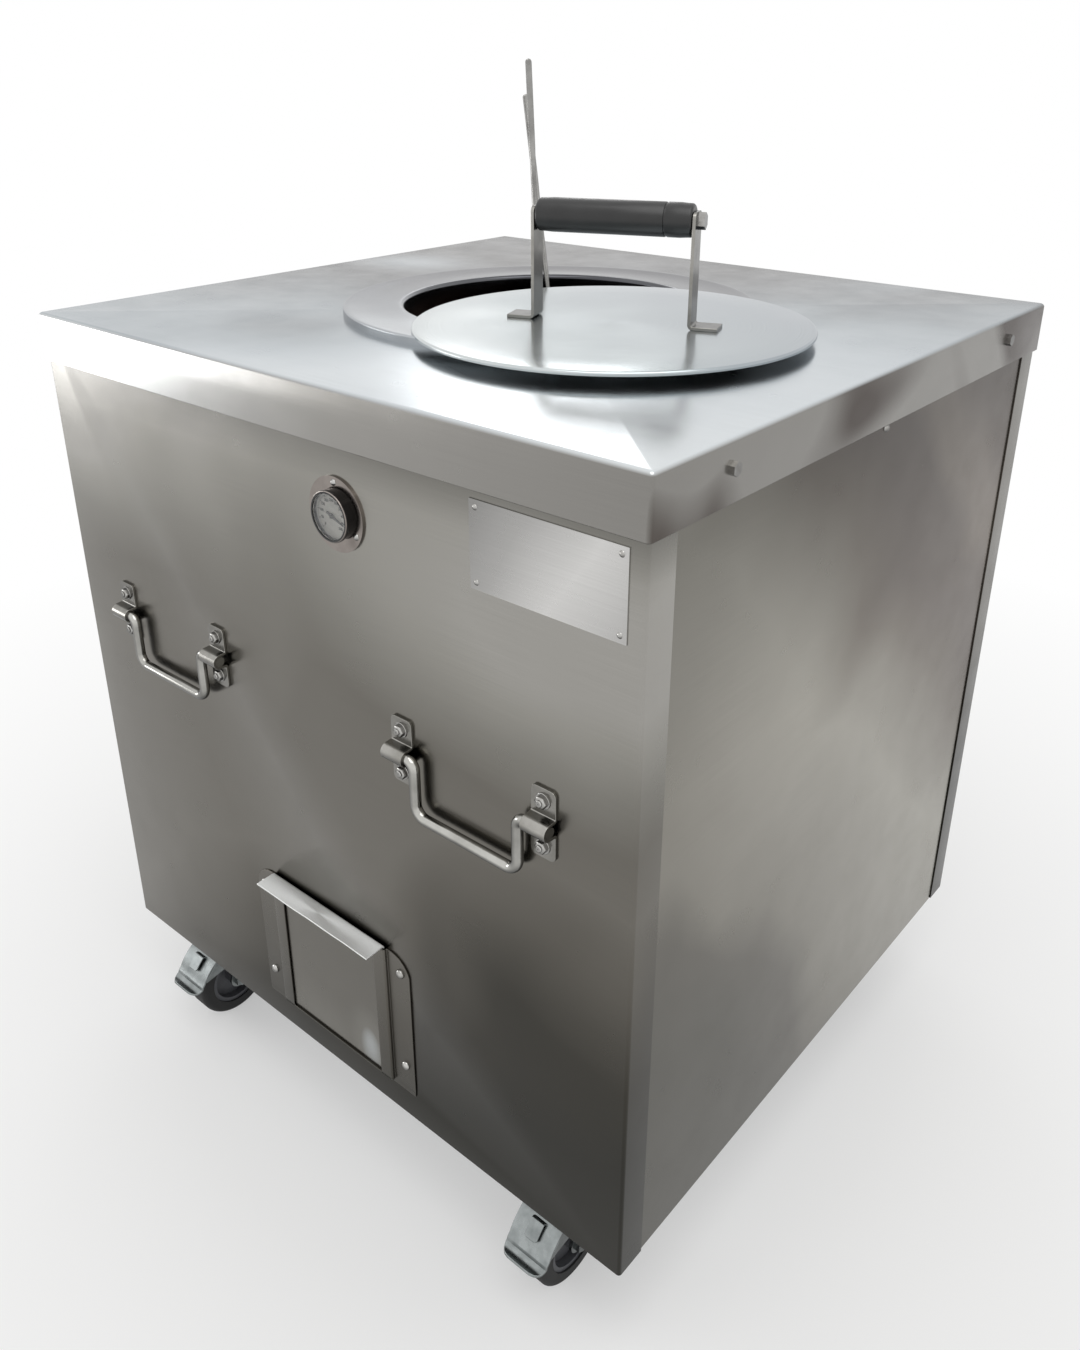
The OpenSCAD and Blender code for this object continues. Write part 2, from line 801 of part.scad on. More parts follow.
// Strap with a hump over the rod, on the panel, at the end of its handle
module saddle() {
    difference() {
        union() {
            translate([-saddle_w / 2, -saddle_t, -saddle_l / 2]) cube([saddle_w, saddle_t, saddle_l]);
            translate([-saddle_w / 2, -bail_out, -tunnel_r - saddle_t])
                cube([saddle_w, bail_out, 2 * (tunnel_r + saddle_t)]);
            translate([0, -bail_out, 0]) bar_x(tunnel_r + saddle_t, saddle_w);
        }
        translate([0, -bail_out, 0]) bar_x(tunnel_r, saddle_w + 2);
        translate([-saddle_w / 2 - 1, -bail_out, -tunnel_r]) cube([saddle_w + 2, bail_out + 1, 2 * tunnel_r]);
    }
}

module handle_saddles(side) {
    color("silver") difference() {
        cab() for (end = [-1, 1])
            translate([side * (cap_w / 2 - handle_in) + end * saddle_span / 2, front_y, body_z + handle_z])
                saddle();
        cab() saddle_bolt_places() translate([0, 0, -eps]) cylinder(r = m6 + bolt_fit, h = 2 * saddle_t);
    }
}

module handle_bolts() {
    color("gainsboro") cab() saddle_bolt_places() translate([0, 0, saddle_t])
        hex_bolt(m6, m6_head_r, m6_head_h, saddle_t + sheet, m6_nut_h);
}

// Quarter bend of the rod in the XZ plane, centred on the bend
module rod_bend(r, from) {
    rotate([90, 0, 0]) rotate_extrude(angle = 90, start = from) translate([r, 0]) circle(r = bail_r);
}

module bail(side) {
    leg_x = bail_w / 2;
    color("silver") cab() translate([side * (cap_w / 2 - handle_in), front_y - bail_out, body_z + handle_z]) {
        for (s = [0, 1]) mirror([s, 0, 0]) {
            translate([leg_x + bail_bend, 0, 0]) along_x()
                cylinder(r = bail_r, h = bail_end - leg_x - bail_bend);
            translate([leg_x + bail_bend, 0, -bail_bend]) rod_bend(bail_bend, 90);
            translate([leg_x, 0, -bail_drop + bail_corner])
                cylinder(r = bail_r, h = bail_drop - bail_corner - bail_bend);
            translate([leg_x - bail_corner, 0, -bail_drop + bail_corner]) rod_bend(bail_corner, 270);
        }
        translate([0, 0, -bail_drop]) bar_x(bail_r, 2 * (leg_x - bail_corner));
    }
}

// ---------- lid ----------

// Places its children on the lid's middle, turned with its handle
module on_lid(z) {
    cab() translate([lid_x, lid_y, z]) rotate([0, 0, lid_turn]) children();
}

module lid_disc() {
    color("whitesmoke") on_lid(lid_z) difference() {
        cylinder(r = lid_r, h = lid_skirt, $fn = 128);
        translate([0, 0, -eps]) cylinder(r = lid_r - sheet, h = lid_skirt - sheet + eps, $fn = 128);
    }
}

module lid_leg() {
    x0 = grip_l / 2 + rest_gap;
    top_r = 6;
    difference() {
        union() {
            translate([x0, -strap_w / 2, 0]) cube([strap_t, strap_w, leg_h - top_r]);
            translate([x0, -strap_w / 2 + top_r, 0]) cube([strap_t, strap_w - 2 * top_r, leg_h]);
            for (s = [-1, 1]) translate([x0, s * (strap_w / 2 - top_r), leg_h - top_r])
                along_x() cylinder(r = top_r, h = strap_t);
            translate([x0, -strap_w / 2, 0]) cube([foot_l, strap_w, strap_t]);
        }
        translate([x0 - 1, 0, grip_z]) along_x() cylinder(r = grip_bolt_r + pin_fit, h = strap_t + 2);
    }
}

module lid_legs() {
    color("silver") on_lid(lid_top) {
        lid_leg();
        mirror([1, 0, 0]) lid_leg();
    }
}

module lid_grip() {
    r = grip_d / 2;
    h = grip_l / 2;
    groove = 24;
    color("black") on_lid(lid_top + grip_z) along_x() rotate_extrude($fn = 64) polygon([
        [grip_bolt_r + pin_fit, -h], [r - 3, -h], [r, -h + 3],
        [r, h - groove - 1], [r - 0.8, h - groove - 1], [r - 0.8, h - groove], [r, h - groove],
        [r, h - 3], [r - 3, h], [grip_bolt_r + pin_fit, h]
    ]);
}

module grip_bolt() {
    x1 = grip_l / 2 + rest_gap + strap_t;
    color("silver") on_lid(lid_top + grip_z) {
        bar_x(grip_bolt_r, 2 * x1 + eps);
        translate([-x1, 0, 0]) rotate([0, -90, 0]) dome(grip_head[0], grip_head[1]);
        translate([x1, 0, 0]) along_x() hexagon(grip_nut[0], grip_nut[1]);
    }
}

// ---------- bread rods ----------

function polar(r, a, z) = [r * cos(a), r * sin(a), z];

// Stands its children at the rod's foot and leans them on the mouth
module lean(foot, touch_a, rise = 0) {
    p = polar(foot[0], foot[1], rod_foot_z + rise);
    q = polar(touch_r, touch_a, touch_z);
    u = (q - p) / norm(q - p);
    cab() translate(p) rotate([0, acos(u[2]), atan2(u[1], u[0])]) children();
}

// Round rod with a flattened handle end that faces along its local Y
module rod_shaft(l) {
    cylinder(r = rod_r, h = l - paddle_l, $fn = 24);
    translate([-paddle_w / 2, -paddle_t / 2, l - paddle_l - 2])
        cube([paddle_w, paddle_t, paddle_l - paddle_w / 2 + 2]);
    translate([0, paddle_t / 2, l - paddle_w / 2]) rotate([90, 0, 0])
        cylinder(r = paddle_w / 2, h = paddle_t);
}

module bread_hook() {
    color("silver") lean(hook_foot, hook_touch, rod_r) rotate([0, 0, -95]) {
        translate([0, 0, hook_bend_r]) rod_shaft(hook_l - hook_bend_r);
        rotate([0, 0, -90]) translate([hook_bend_r, 0, hook_bend_r]) rotate([90, 0, 0])
            rotate_extrude(angle = 90, start = 180) translate([hook_bend_r, 0])
                circle(r = rod_r, $fn = 24);
    }
}

module bread_scraper() {
    color("silver") lean(scraper_foot, scraper_touch) rotate([0, 0, -95]) {
        rod_shaft(scraper_l);
        translate([-blade_w / 2, -1.25, 0]) cube([blade_w, 2.5, blade_l]);
    }
}

// ---------- casters ----------

// Places its children on one caster's swivel axis, z = 0 on the floor
module on_caster(corner) {
    cab() translate([corner[0] * caster_x, corner[1] * caster_y, 0]) children();
}

module caster_plates() {
    color("silver") difference() {
        for (c = CORNERS) on_caster(c) difference() {
            union() {
                slab(plate_w, plate_d, caster_t, caster_h - caster_t);
                translate([0, 0, caster_h - caster_t - race_h]) cylinder(r = race_r, h = race_h + eps);
            }
            translate([0, 0, caster_h - caster_t - race_h - eps])
                cylinder(r = kingpin_r + eps, h = race_h + caster_t + 2 * eps);
        }
        cab() plate_bolt_places() translate([0, 0, caster_h - 2 * caster_t])
            cylinder(r = m8 + bolt_fit, h = 3 * caster_t);
    }
}

module caster_bolts() {
    shank = caster_t + angle_t;
    color("silver") cab() plate_bolt_places() translate([0, 0, caster_h - caster_t]) {
        translate([0, 0, -m8_head_h]) hexagon(m8_head_r, m8_head_h);
        cylinder(r = m8, h = shank + m8_head_h);
        translate([0, 0, shank]) hexagon(m8_head_r, m8_head_h);
    }
}

module caster_kingpins() {
    color("silver") for (c = CORNERS) on_caster(c) {
        z = crown_z - caster_t - swivel_gap;
        translate([0, 0, z]) cylinder(r = kingpin_r, h = caster_h - z);
        translate([0, 0, z - kingpin_head_h]) cylinder(r = kingpin_head_r, h = kingpin_head_h + eps);
    }
}

module fork_leg() {
    rotate([90, 0, 90]) linear_extrude(caster_t) polygon([
        [crown_back, crown_z], [-crown_front, crown_z],
        [-trail - axle_boss, wheel_r], [-trail + axle_boss * 0.95, wheel_r - axle_boss * 0.3]
    ]);
    translate([0, -trail, wheel_r]) along_x() cylinder(r = axle_boss, h = caster_t);
}

// Swivel fork; a fork with a brake carries the two stub pins of its pedal
module fork(corner, brake) {
    color("silver") on_caster(corner) difference() {
        union() {
            translate([0, 0, crown_z - caster_t]) cylinder(r = crown_r, h = caster_t);
            translate([-fork_out, -crown_front, crown_z - caster_t])
                cube([2 * fork_out, crown_front + crown_back, caster_t]);
            for (s = [0, 1]) mirror([s, 0, 0]) {
                translate([fork_in, 0, 0]) fork_leg();
                if (brake) translate([fork_out - eps, pedal_pivot[0], pedal_pivot[1]])
                    along_x() cylinder(r = pedal_pin_r, h = pedal_pin_l);
            }
        }
        translate([0, 0, crown_z - 2 * caster_t]) cylinder(r = kingpin_r + pin_fit, h = 3 * caster_t);
        translate([0, -trail, wheel_r]) bar_x(axle_r + pin_fit / 2, 3 * fork_out);
    }
}

module hub(corner) {
    boss_r = 11;
    boss_h = fork_in - rest_gap;
    rim_h = wheel_w / 2 - 2;
    web_h = 5;
    bore = axle_r + pin_fit;
    color("gray") on_caster(corner) translate([0, -trail, wheel_r]) along_x()
        rotate_extrude($fn = 96) polygon([
            [bore, -boss_h], [boss_r, -boss_h], [boss_r, -web_h], [rim_r - 5, -web_h], [rim_r - 5, -rim_h],
            [rim_r, -rim_h], [rim_r, rim_h], [rim_r - 5, rim_h], [rim_r - 5, web_h], [boss_r, web_h],
            [boss_r, boss_h], [bore, boss_h]
        ]);
}

module tyre(corner) {
    round_r = 6;
    half = wheel_w / 2;
    color("black") on_caster(corner) translate([0, -trail, wheel_r]) along_x()
        rotate_extrude($fn = 96) difference() {
            union() {
                translate([rim_r + 0.02, -half + round_r])
                    square([wheel_r - rim_r - 0.02, wheel_w - 2 * round_r]);
                translate([rim_r + 0.02, -half])
                    square([wheel_r - rim_r - round_r - 0.02, wheel_w]);
                for (s = [-1, 1]) translate([wheel_r - round_r, s * (half - round_r)]) circle(r = round_r);
            }
        }
}

module axle(corner) {
    nut_h = 6;
    color("silver") on_caster(corner) translate([0, -trail, wheel_r]) {
        bar_x(axle_r, 2 * fork_out + 2);
        for (s = [0, 1]) mirror([s, 0, 0]) translate([fork_out, 0, 0]) along_x() hexagon(8.5, nut_h);
    }
}

// Side view of the pedal's folded sheet: shoe over the tyre, then the flatter tread
function pedal_point(r, a) = [-trail - r * cos(a), wheel_r + r * sin(a)];
function normal_to(a) = [-sin(a), cos(a)];

// Plan of the pedal, with the tread's front corners rounded
module pedal_plan(back_y, tip_y) {
    r = 14;
    translate([-pedal_w / 2, tip_y + r]) square([pedal_w, back_y - tip_y - r]);
    translate([r - pedal_w / 2, tip_y]) square([pedal_w - 2 * r, r + 1]);
    for (s = [-1, 1]) translate([s * (pedal_w / 2 - r), tip_y + r]) circle(r = r);
}

// Pedal: two side arms on the stub pins, a sheet over the tyre, a tread and a release tab
module pedal(corner) {
    arm_in = pedal_w / 2 - pedal_t - 0.5;
    shoe_r = wheel_r + shoe_gap;
    back = pedal_point(shoe_r, shoe_arc[0]);
    front = pedal_point(shoe_r, shoe_arc[1]);
    slope = atan2(back[1] - front[1], back[0] - front[0]);
    dip = 25;
    tip = front - tread_l * [cos(dip), sin(dip)];
    bend = (slope + dip) / 2;
    run = [cos(slope), sin(slope)];
    bite = pedal_t / 2 * normal_to(slope);
    tab = 15;
    color("silver") on_caster(corner) difference() {
        union() {
            intersection() {
                translate([-pedal_w / 2 - 1, 0, 0]) rotate([90, 0, 90]) linear_extrude(pedal_w + 2)
                    polygon([
                        back, front, tip, tip + pedal_t * normal_to(dip),
                        front + pedal_t / cos(slope - bend) * normal_to(bend),
                        back + pedal_t * normal_to(slope)
                    ]);
                linear_extrude(caster_h) pedal_plan(back[0] + pedal_t, tip[0] - pedal_t);
            }
            for (s = [0, 1]) mirror([s, 0, 0]) translate([arm_in, 0, 0])
                rotate([90, 0, 90]) linear_extrude(pedal_t) {
                    polygon([front + 2 * run + bite, back - 2 * run + bite,
                             pedal_pivot + [3, 6], pedal_pivot + [6, -3], pedal_pivot + [-3, -6]]);
                    translate(pedal_pivot) circle(r = 8);
                }
            translate([-tab / 2, 0, 0]) rotate([90, 0, 90]) linear_extrude(tab)
                polygon([
                    back - 15 * run + bite, back - 12.5 * run + bite,
                    back - 12.5 * run + tab * normal_to(slope), back - 15 * run + tab * normal_to(slope)
                ]);
        }
        translate([0, pedal_pivot[0], pedal_pivot[1]]) bar_x(pedal_pin_r + pin_fit, 2 * pedal_w);
    }
}

// ---------- the part ----------

lower_frame();
upper_frame();
floor_pan();
hearth_slab();
clay_pot();
insulation_fill();
front_panel();
back_panel();
side_panel(-1);  // left_side_panel
side_panel(1);  // right_side_panel
side_screws();
cap_tray();
cap_bolts();
mouth_ring();
draught_duct();
draught_frame();
draught_screws();
draught_door();
gauge_flange();
gauge_case();
gauge_dial();
gauge_pointer();
gauge_glass();
gauge_probe();
gauge_screws();
name_plate();
plate_rivets();
handle_saddles(-1);  // left_handle_saddles
handle_saddles(1);  // right_handle_saddles
handle_bolts();
bail(-1);  // left_bail
bail(1);  // right_bail
lid_disc();
lid_legs();
lid_grip();
grip_bolt();
bread_hook();
bread_scraper();
caster_plates();
caster_bolts();
caster_kingpins();
fork([-1, -1], true);  // fork_front_left
fork([1, -1], true);  // fork_front_right
fork([-1, 1], false);  // fork_rear_left
fork([1, 1], false);  // fork_rear_right
hub([-1, -1]);  // hub_front_left
hub([1, -1]);  // hub_front_right
hub([-1, 1]);  // hub_rear_left
hub([1, 1]);  // hub_rear_right
tyre([-1, -1]);  // tyre_front_left
tyre([1, -1]);  // tyre_front_right
tyre([-1, 1]);  // tyre_rear_left
tyre([1, 1]);  // tyre_rear_right
axle([-1, -1]);  // axle_front_left
axle([1, -1]);  // axle_front_right
axle([-1, 1]);  // axle_rear_left
axle([1, 1]);  // axle_rear_right
pedal([-1, -1]);  // pedal_front_left
pedal([1, -1]);  // pedal_front_right
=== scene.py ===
"""Clay tandoor oven in a brushed stainless casing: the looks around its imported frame."""
import json
import math

import bmesh
import bpy
from mathutils import Euler, Matrix, Vector


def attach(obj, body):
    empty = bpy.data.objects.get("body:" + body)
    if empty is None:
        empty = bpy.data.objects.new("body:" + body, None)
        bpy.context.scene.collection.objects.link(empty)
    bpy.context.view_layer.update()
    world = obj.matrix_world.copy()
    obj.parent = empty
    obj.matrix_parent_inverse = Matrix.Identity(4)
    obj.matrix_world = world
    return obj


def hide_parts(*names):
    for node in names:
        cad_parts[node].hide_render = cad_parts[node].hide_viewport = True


MM = 0.001
TAU = 2 * math.pi

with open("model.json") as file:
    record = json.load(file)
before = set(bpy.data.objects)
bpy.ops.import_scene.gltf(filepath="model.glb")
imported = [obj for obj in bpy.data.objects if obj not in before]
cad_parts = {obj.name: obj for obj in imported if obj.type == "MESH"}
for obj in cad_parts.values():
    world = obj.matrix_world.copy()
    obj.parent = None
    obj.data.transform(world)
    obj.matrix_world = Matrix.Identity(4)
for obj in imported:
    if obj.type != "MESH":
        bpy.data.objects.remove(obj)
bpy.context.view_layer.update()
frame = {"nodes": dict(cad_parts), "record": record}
node_slot = {s["node"]: s["material_slot"] for s in frame["record"]["subparts"]}

# ---------------------------------------------------------------- sizes, in mm

MID_Y = 11.25                     # the cabinet's middle, behind the part's middle
CAP_W, CAP_D, CAP_TOP = 760, 704, 880
SKIRT_Z = 831                     # lower edge of the cap's skirt
SHEET = 1.5                       # thickness of the casing's sheets
BODY_W, BODY_D, BODY_Z, BODY_TOP = 754, 698, 125, 878.0
FRONT_Y = -BODY_D / 2             # outer face of the front sheet
RETURN_W = 33                     # how far the front and back sheets turn onto the sides
MOUTH_R, LIP_TOP = 148, 887.5     # the mouth, and the height of its rolled lip
LID_PLACE, LID_R, LID_TOP = (127.5, -61.5), 184.5, 892.3
LID_TURN = 21                     # degrees that its handle is turned about the vertical
HANDLE_X, HANDLE_Z = 211, 573     # the drop handles' pivots: middle and height
SADDLE_SPAN, SADDLE_T = 158, 2.5  # between a handle's two saddles, and a saddle's strap
SADDLE_BOLTS = 42                 # between the two bolts of a saddle
DOOR_X, DOOR_SLOT = 6, (186, 316)  # the draught opening: its middle, and its two edges' heights
DUCT_HALF = 65                    # half the width of the draught opening
GUIDE_HALF, GUIDE_LOW = 116, 164.2  # half the width over the guides, and their lower ends
GUIDE_SCREWS = (194.2, 312.2)     # heights of the guides' screws
GAUGE_X, GAUGE_Z, GAUGE_Y = 66.5, 773, -351  # the thermometer's middle and its flange's face
DIAL_FACE = 2.56                  # the dial's printed face, out of its flange
FIRST_MARK, SCALE_SWEEP = 225, 270  # the scale's start and run, in degrees
CASTER_X, CASTER_Y = 275, 267     # the casters' swivels, from the cabinet's middle
TRAIL, WHEEL_R = 35, 50           # how far a wheel trails its swivel, and its radius
POT_Z, POT_H, POT_WALL = 179.5, 693, 38
ROD_R, HOOK_L, SCRAPER_L = 3.0, 934, 921  # half a bar's thickness, and the bars' lengths


# ---------------------------------------------------------------- mesh makers

def cabinet(x, y, z):
    """A point of the cabinet, in mm from its middle and the floor, in the part's frame."""
    return Vector((x, y + MID_Y, z)) * MM


def piece(name, verts, faces, stuff, body, slot, stands_for=(), soft_edge=0.0, smooth=True):
    """A mesh that rides on a body; soft_edge rounds its sheared edges by so many mm."""
    mesh = bpy.data.meshes.new(name)
    mesh.from_pydata([tuple(v) for v in verts], [], faces)
    shell = bmesh.new()
    shell.from_mesh(mesh)
    bmesh.ops.remove_doubles(shell, verts=shell.verts, dist=1e-7)
    bmesh.ops.recalc_face_normals(shell, faces=shell.faces)
    shell.to_mesh(mesh)
    shell.free()
    made = bpy.data.objects.new(name, mesh)
    bpy.context.scene.collection.objects.link(made)
    mesh.materials.append(stuff)
    if soft_edge:
        rounding = made.modifiers.new("rounding", "BEVEL")
        rounding.width = soft_edge * MM
        rounding.segments = 2
        rounding.limit_method = "ANGLE"
        rounding.angle_limit = math.radians(40)
        rounding.harden_normals = False
    if smooth:
        mesh.shade_smooth()
        mesh.set_sharp_from_angle(angle=math.radians(38))
    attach(made, body)
    if stands_for:
        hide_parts(*stands_for)
    return made


def around(radius, degrees):
    """The point at a radius and an angle."""
    a = math.radians(degrees)
    return radius * math.cos(a), radius * math.sin(a)


def lathed(profile, place, turns):
    """Spins (radius, height) points; place turns (x, y, z) in mm into a point of the part."""
    verts = []
    for k in range(turns):
        a = TAU * k / turns
        verts += [place(r * math.cos(a), r * math.sin(a), h) for r, h in profile]
    n = len(profile)
    faces = []
    for k in range(turns):
        here, there = k * n, (k + 1) % turns * n
        for i in range(n):
            j = (i + 1) % n
            faces.append((here + i, there + i, there + j, here + j))
    return verts, faces


def rounded_path(corners, radius, steps):
    """A polyline through corners, with its inner corners bent to a radius."""
    path = [Vector(corners[0])]
    for i in range(1, len(corners) - 1):
        here = Vector(corners[i])
        back = (Vector(corners[i - 1]) - here).normalized()
        on = (Vector(corners[i + 1]) - here).normalized()
        half = math.acos(max(-1, min(1, back.dot(on)))) / 2
        reach = radius / math.tan(half)
        middle = here + (back + on).normalized() * radius / math.sin(half)
        start, end = here + back * reach, here + on * reach
        a0 = math.atan2(start.y - middle.y, start.x - middle.x)
        a1 = math.atan2(end.y - middle.y, end.x - middle.x)
        sweep = (a1 - a0 + math.pi) % TAU - math.pi
        for k in range(steps + 1):
            a = a0 + sweep * k / steps
            path.append(middle + Vector((math.cos(a), math.sin(a))) * radius)
    path.append(Vector(corners[-1]))
    return path


def arc(middle, radius, start, end, steps):
    """Points on an arc, angles in degrees."""
    angles = [start + (end - start) * k / steps for k in range(steps + 1)]
    return [Vector(middle) + Vector(around(radius, a)) for a in angles]


def strip(path, thick, width, place, across=1, lift=None):
    """A bent strip of sheet: path is its middle line, width(s, total) the range it spans
    across, place(u, v, w) a point of the part, and lift(u, v, w) an optional wave."""
    run = [0.0]
    for a, b in zip(path, path[1:]):
        run.append(run[-1] + (b - a).length)
    verts = []
    for i, here in enumerate(path):
        before = path[max(i - 1, 0)]
        after = path[min(i + 1, len(path) - 1)]
        along = (after - before).normalized()
        side = Vector((-along.y, along.x)) * thick / 2
        low, high = width(run[i], run[-1])
        for face in (1, -1):
            for k in range(across + 1):
                w = low + (high - low) * k / across
                u, v = here + side * face
                bump = lift(u, v, w) if lift else 0.0
                verts.append(place(u, v + bump, w))
    row = across + 1
    ring = 2 * row
    faces = []
    for i in range(len(path) - 1):
        a, b = i * ring, (i + 1) * ring
        for k in range(across):
            faces.append((a + k, b + k, b + k + 1, a + k + 1))
            faces.append((a + row + k, a + row + k + 1, b + row + k + 1, b + row + k))
        faces.append((a, a + row, b + row, b))
        faces.append((a + across, b + across, b + row + across, a + row + across))
    for end in (0, (len(path) - 1) * ring):
        for k in range(across):
            faces.append((end + k, end + k + 1, end + row + k + 1, end + row + k))
    return verts, faces


def round_ended(half, radius, both=True):
    """The width of a strip whose corners are rounded at its end, or at both ends."""
    def width(s, total):
        d = min(s, total - s) if both else total - s
        cut = radius - math.sqrt(max(radius ** 2 - max(radius - d, 0) ** 2, 0))
        return -half + cut, half - cut
    return width


def with_end_steps(path, radius, both=True, steps=5):
    """Adds stations near the ends of a path, where round_ended needs them."""
    marks = [radius * (1 - math.cos(math.pi / 2 * k / steps)) for k in range(1, steps + 1)]

    def start_dense(points):
        first, second = points[0], points[1]
        length = (second - first).length
        along = (second - first) / length
        return [first] + [first + along * m for m in marks if m < length - 0.01] + points[1:]

    path = list(reversed(start_dense(list(reversed(path)))))
    return start_dense(path) if both else path


def joined(*parts):
    """Several (verts, faces) as one."""
    verts, faces = [], []
    for more_verts, more_faces in parts:
        faces += [tuple(i + len(verts) for i in f) for f in more_faces]
        verts += more_verts
    return verts, faces


def slab_shape(outline, low, high, place):
    """An outline of (u, v) points drawn out from w = low to w = high."""
    n = len(outline)
    verts = [place(u, v, w) for w in (low, high) for u, v in outline]
    faces = [tuple(range(n)), tuple(range(2 * n - 1, n - 1, -1))]
    faces += [(i, (i + 1) % n, n + (i + 1) % n, n + i) for i in range(n)]
    return verts, faces


def cut_away(target, low, high):
    """Cuts a box, given by two corners of the cabinet in mm, out of a piece."""
    a, b = cabinet(*low), cabinet(*high)
    tool_mesh = bpy.data.meshes.new("cutter")
    box = bmesh.new()
    bmesh.ops.create_cube(box, size=1)
    for v in box.verts:
        v.co = Vector([(a[i] + b[i]) / 2 + v.co[i] * abs(b[i] - a[i]) for i in range(3)])
    box.to_mesh(tool_mesh)
    box.free()
    tool = bpy.data.objects.new("cutter", tool_mesh)
    bpy.context.scene.collection.objects.link(tool)
    cut = target.modifiers.new("opening", "BOOLEAN")
    cut.operation = "DIFFERENCE"
    cut.object = tool
    cut.solver = "EXACT"
    bpy.context.view_layer.update()
    baked = bpy.data.meshes.new_from_object(
        target.evaluated_get(bpy.context.evaluated_depsgraph_get()))
    target.modifiers.remove(cut)
    target.data = baked
    bpy.data.objects.remove(tool)


# ---------------------------------------------------------------- materials

def linear(hex_colour):
    """An sRGB hex value as the linear colour that Blender wants."""
    parts = [int(hex_colour[i:i + 2], 16) / 255 for i in (1, 3, 5)]
    return [c / 12.92 if c <= 0.04045 else ((c + 0.055) / 1.055) ** 2.4 for c in parts] + [1.0]


def add(tree, kind, settings=None, links=None):
    """Adds one node: settings are its attributes or its sockets' values, links its inputs."""
    made = tree.nodes.new("ShaderNode" + kind)
    for key, value in (settings or {}).items():
        if isinstance(key, str) and hasattr(made, key):
            setattr(made, key, value)
        else:
            made.inputs[key].default_value = value
    for key, source in (links or {}).items():
        tree.links.new(source, made.inputs[key])
    return made


def new_material(name):
    """An empty material with its output; returns the material, its tree and the output."""
    stuff = bpy.data.materials.new(name)
    stuff.use_nodes = True
    stuff.node_tree.nodes.clear()
    out = stuff.node_tree.nodes.new("ShaderNodeOutputMaterial")
    return stuff, stuff.node_tree, out


def finish_material(tree, out, surface):
    tree.links.new(surface.outputs[0], out.inputs["Surface"])


def ramp(tree, source, stops):
    """A colour ramp from (place, hex) stops."""
    made = add(tree, "ValToRGB", {}, {"Fac": source})
    band = made.color_ramp
    while len(band.elements) < len(stops):
        band.elements.new(1.0)
    for element, (place, colour) in zip(band.elements, stops):
        element.position = place
        element.color = linear(colour)
    return made.outputs["Color"]


def mapped(tree, source, low, high, to_low, to_high):
    made = add(tree, "MapRange", {1: low, 2: high, 3: to_low, 4: to_high}, {0: source})
    return made.outputs[0]


def along(tree, place, run):
    """How far a point lies along a run, from 0 to 1: a direction with its two ends in mm."""
    direction, low, high = run
    shift = direction[1] * MID_Y
    reach = add(tree, "VectorMath", {"operation": "DOT_PRODUCT", 1: direction}, {0: place})
    return add(tree, "MapRange", {"clamp": False, 1: (low + shift) * MM, 2: (high + shift) * MM},
               {0: reach.outputs["Value"]}).outputs[0]


def painted_reflection_patches(tree, place, tone, patches):
    """Paints soft bright and dark places into the tone as painted reflections, of the kind satin
    sheet would mirror:
    each has its middle and reach in mm and the shift of tone that it makes."""
    for middle, reach, shift in patches:
        near = add(tree, "VectorMath", {"operation": "SUBTRACT", 1: tuple(cabinet(*middle))},
                   {0: place})
        scaled = add(tree, "VectorMath", {"operation": "MULTIPLY",
                                          1: tuple(1 / (r * MM) for r in reach)},
                     {0: near.outputs[0]})
        far = add(tree, "VectorMath", {"operation": "LENGTH"}, {0: scaled.outputs[0]})
        painted_glow = add(tree, "MapRange", {"interpolation_type": "SMOOTHSTEP", 1: 0.0, 2: 1.0,
                                      3: shift, 4: 0.0}, {0: far.outputs["Value"]})
        tone = add(tree, "Math", {"operation": "ADD"}, {0: tone, 1: painted_glow.outputs[0]}).outputs[0]
    return tone


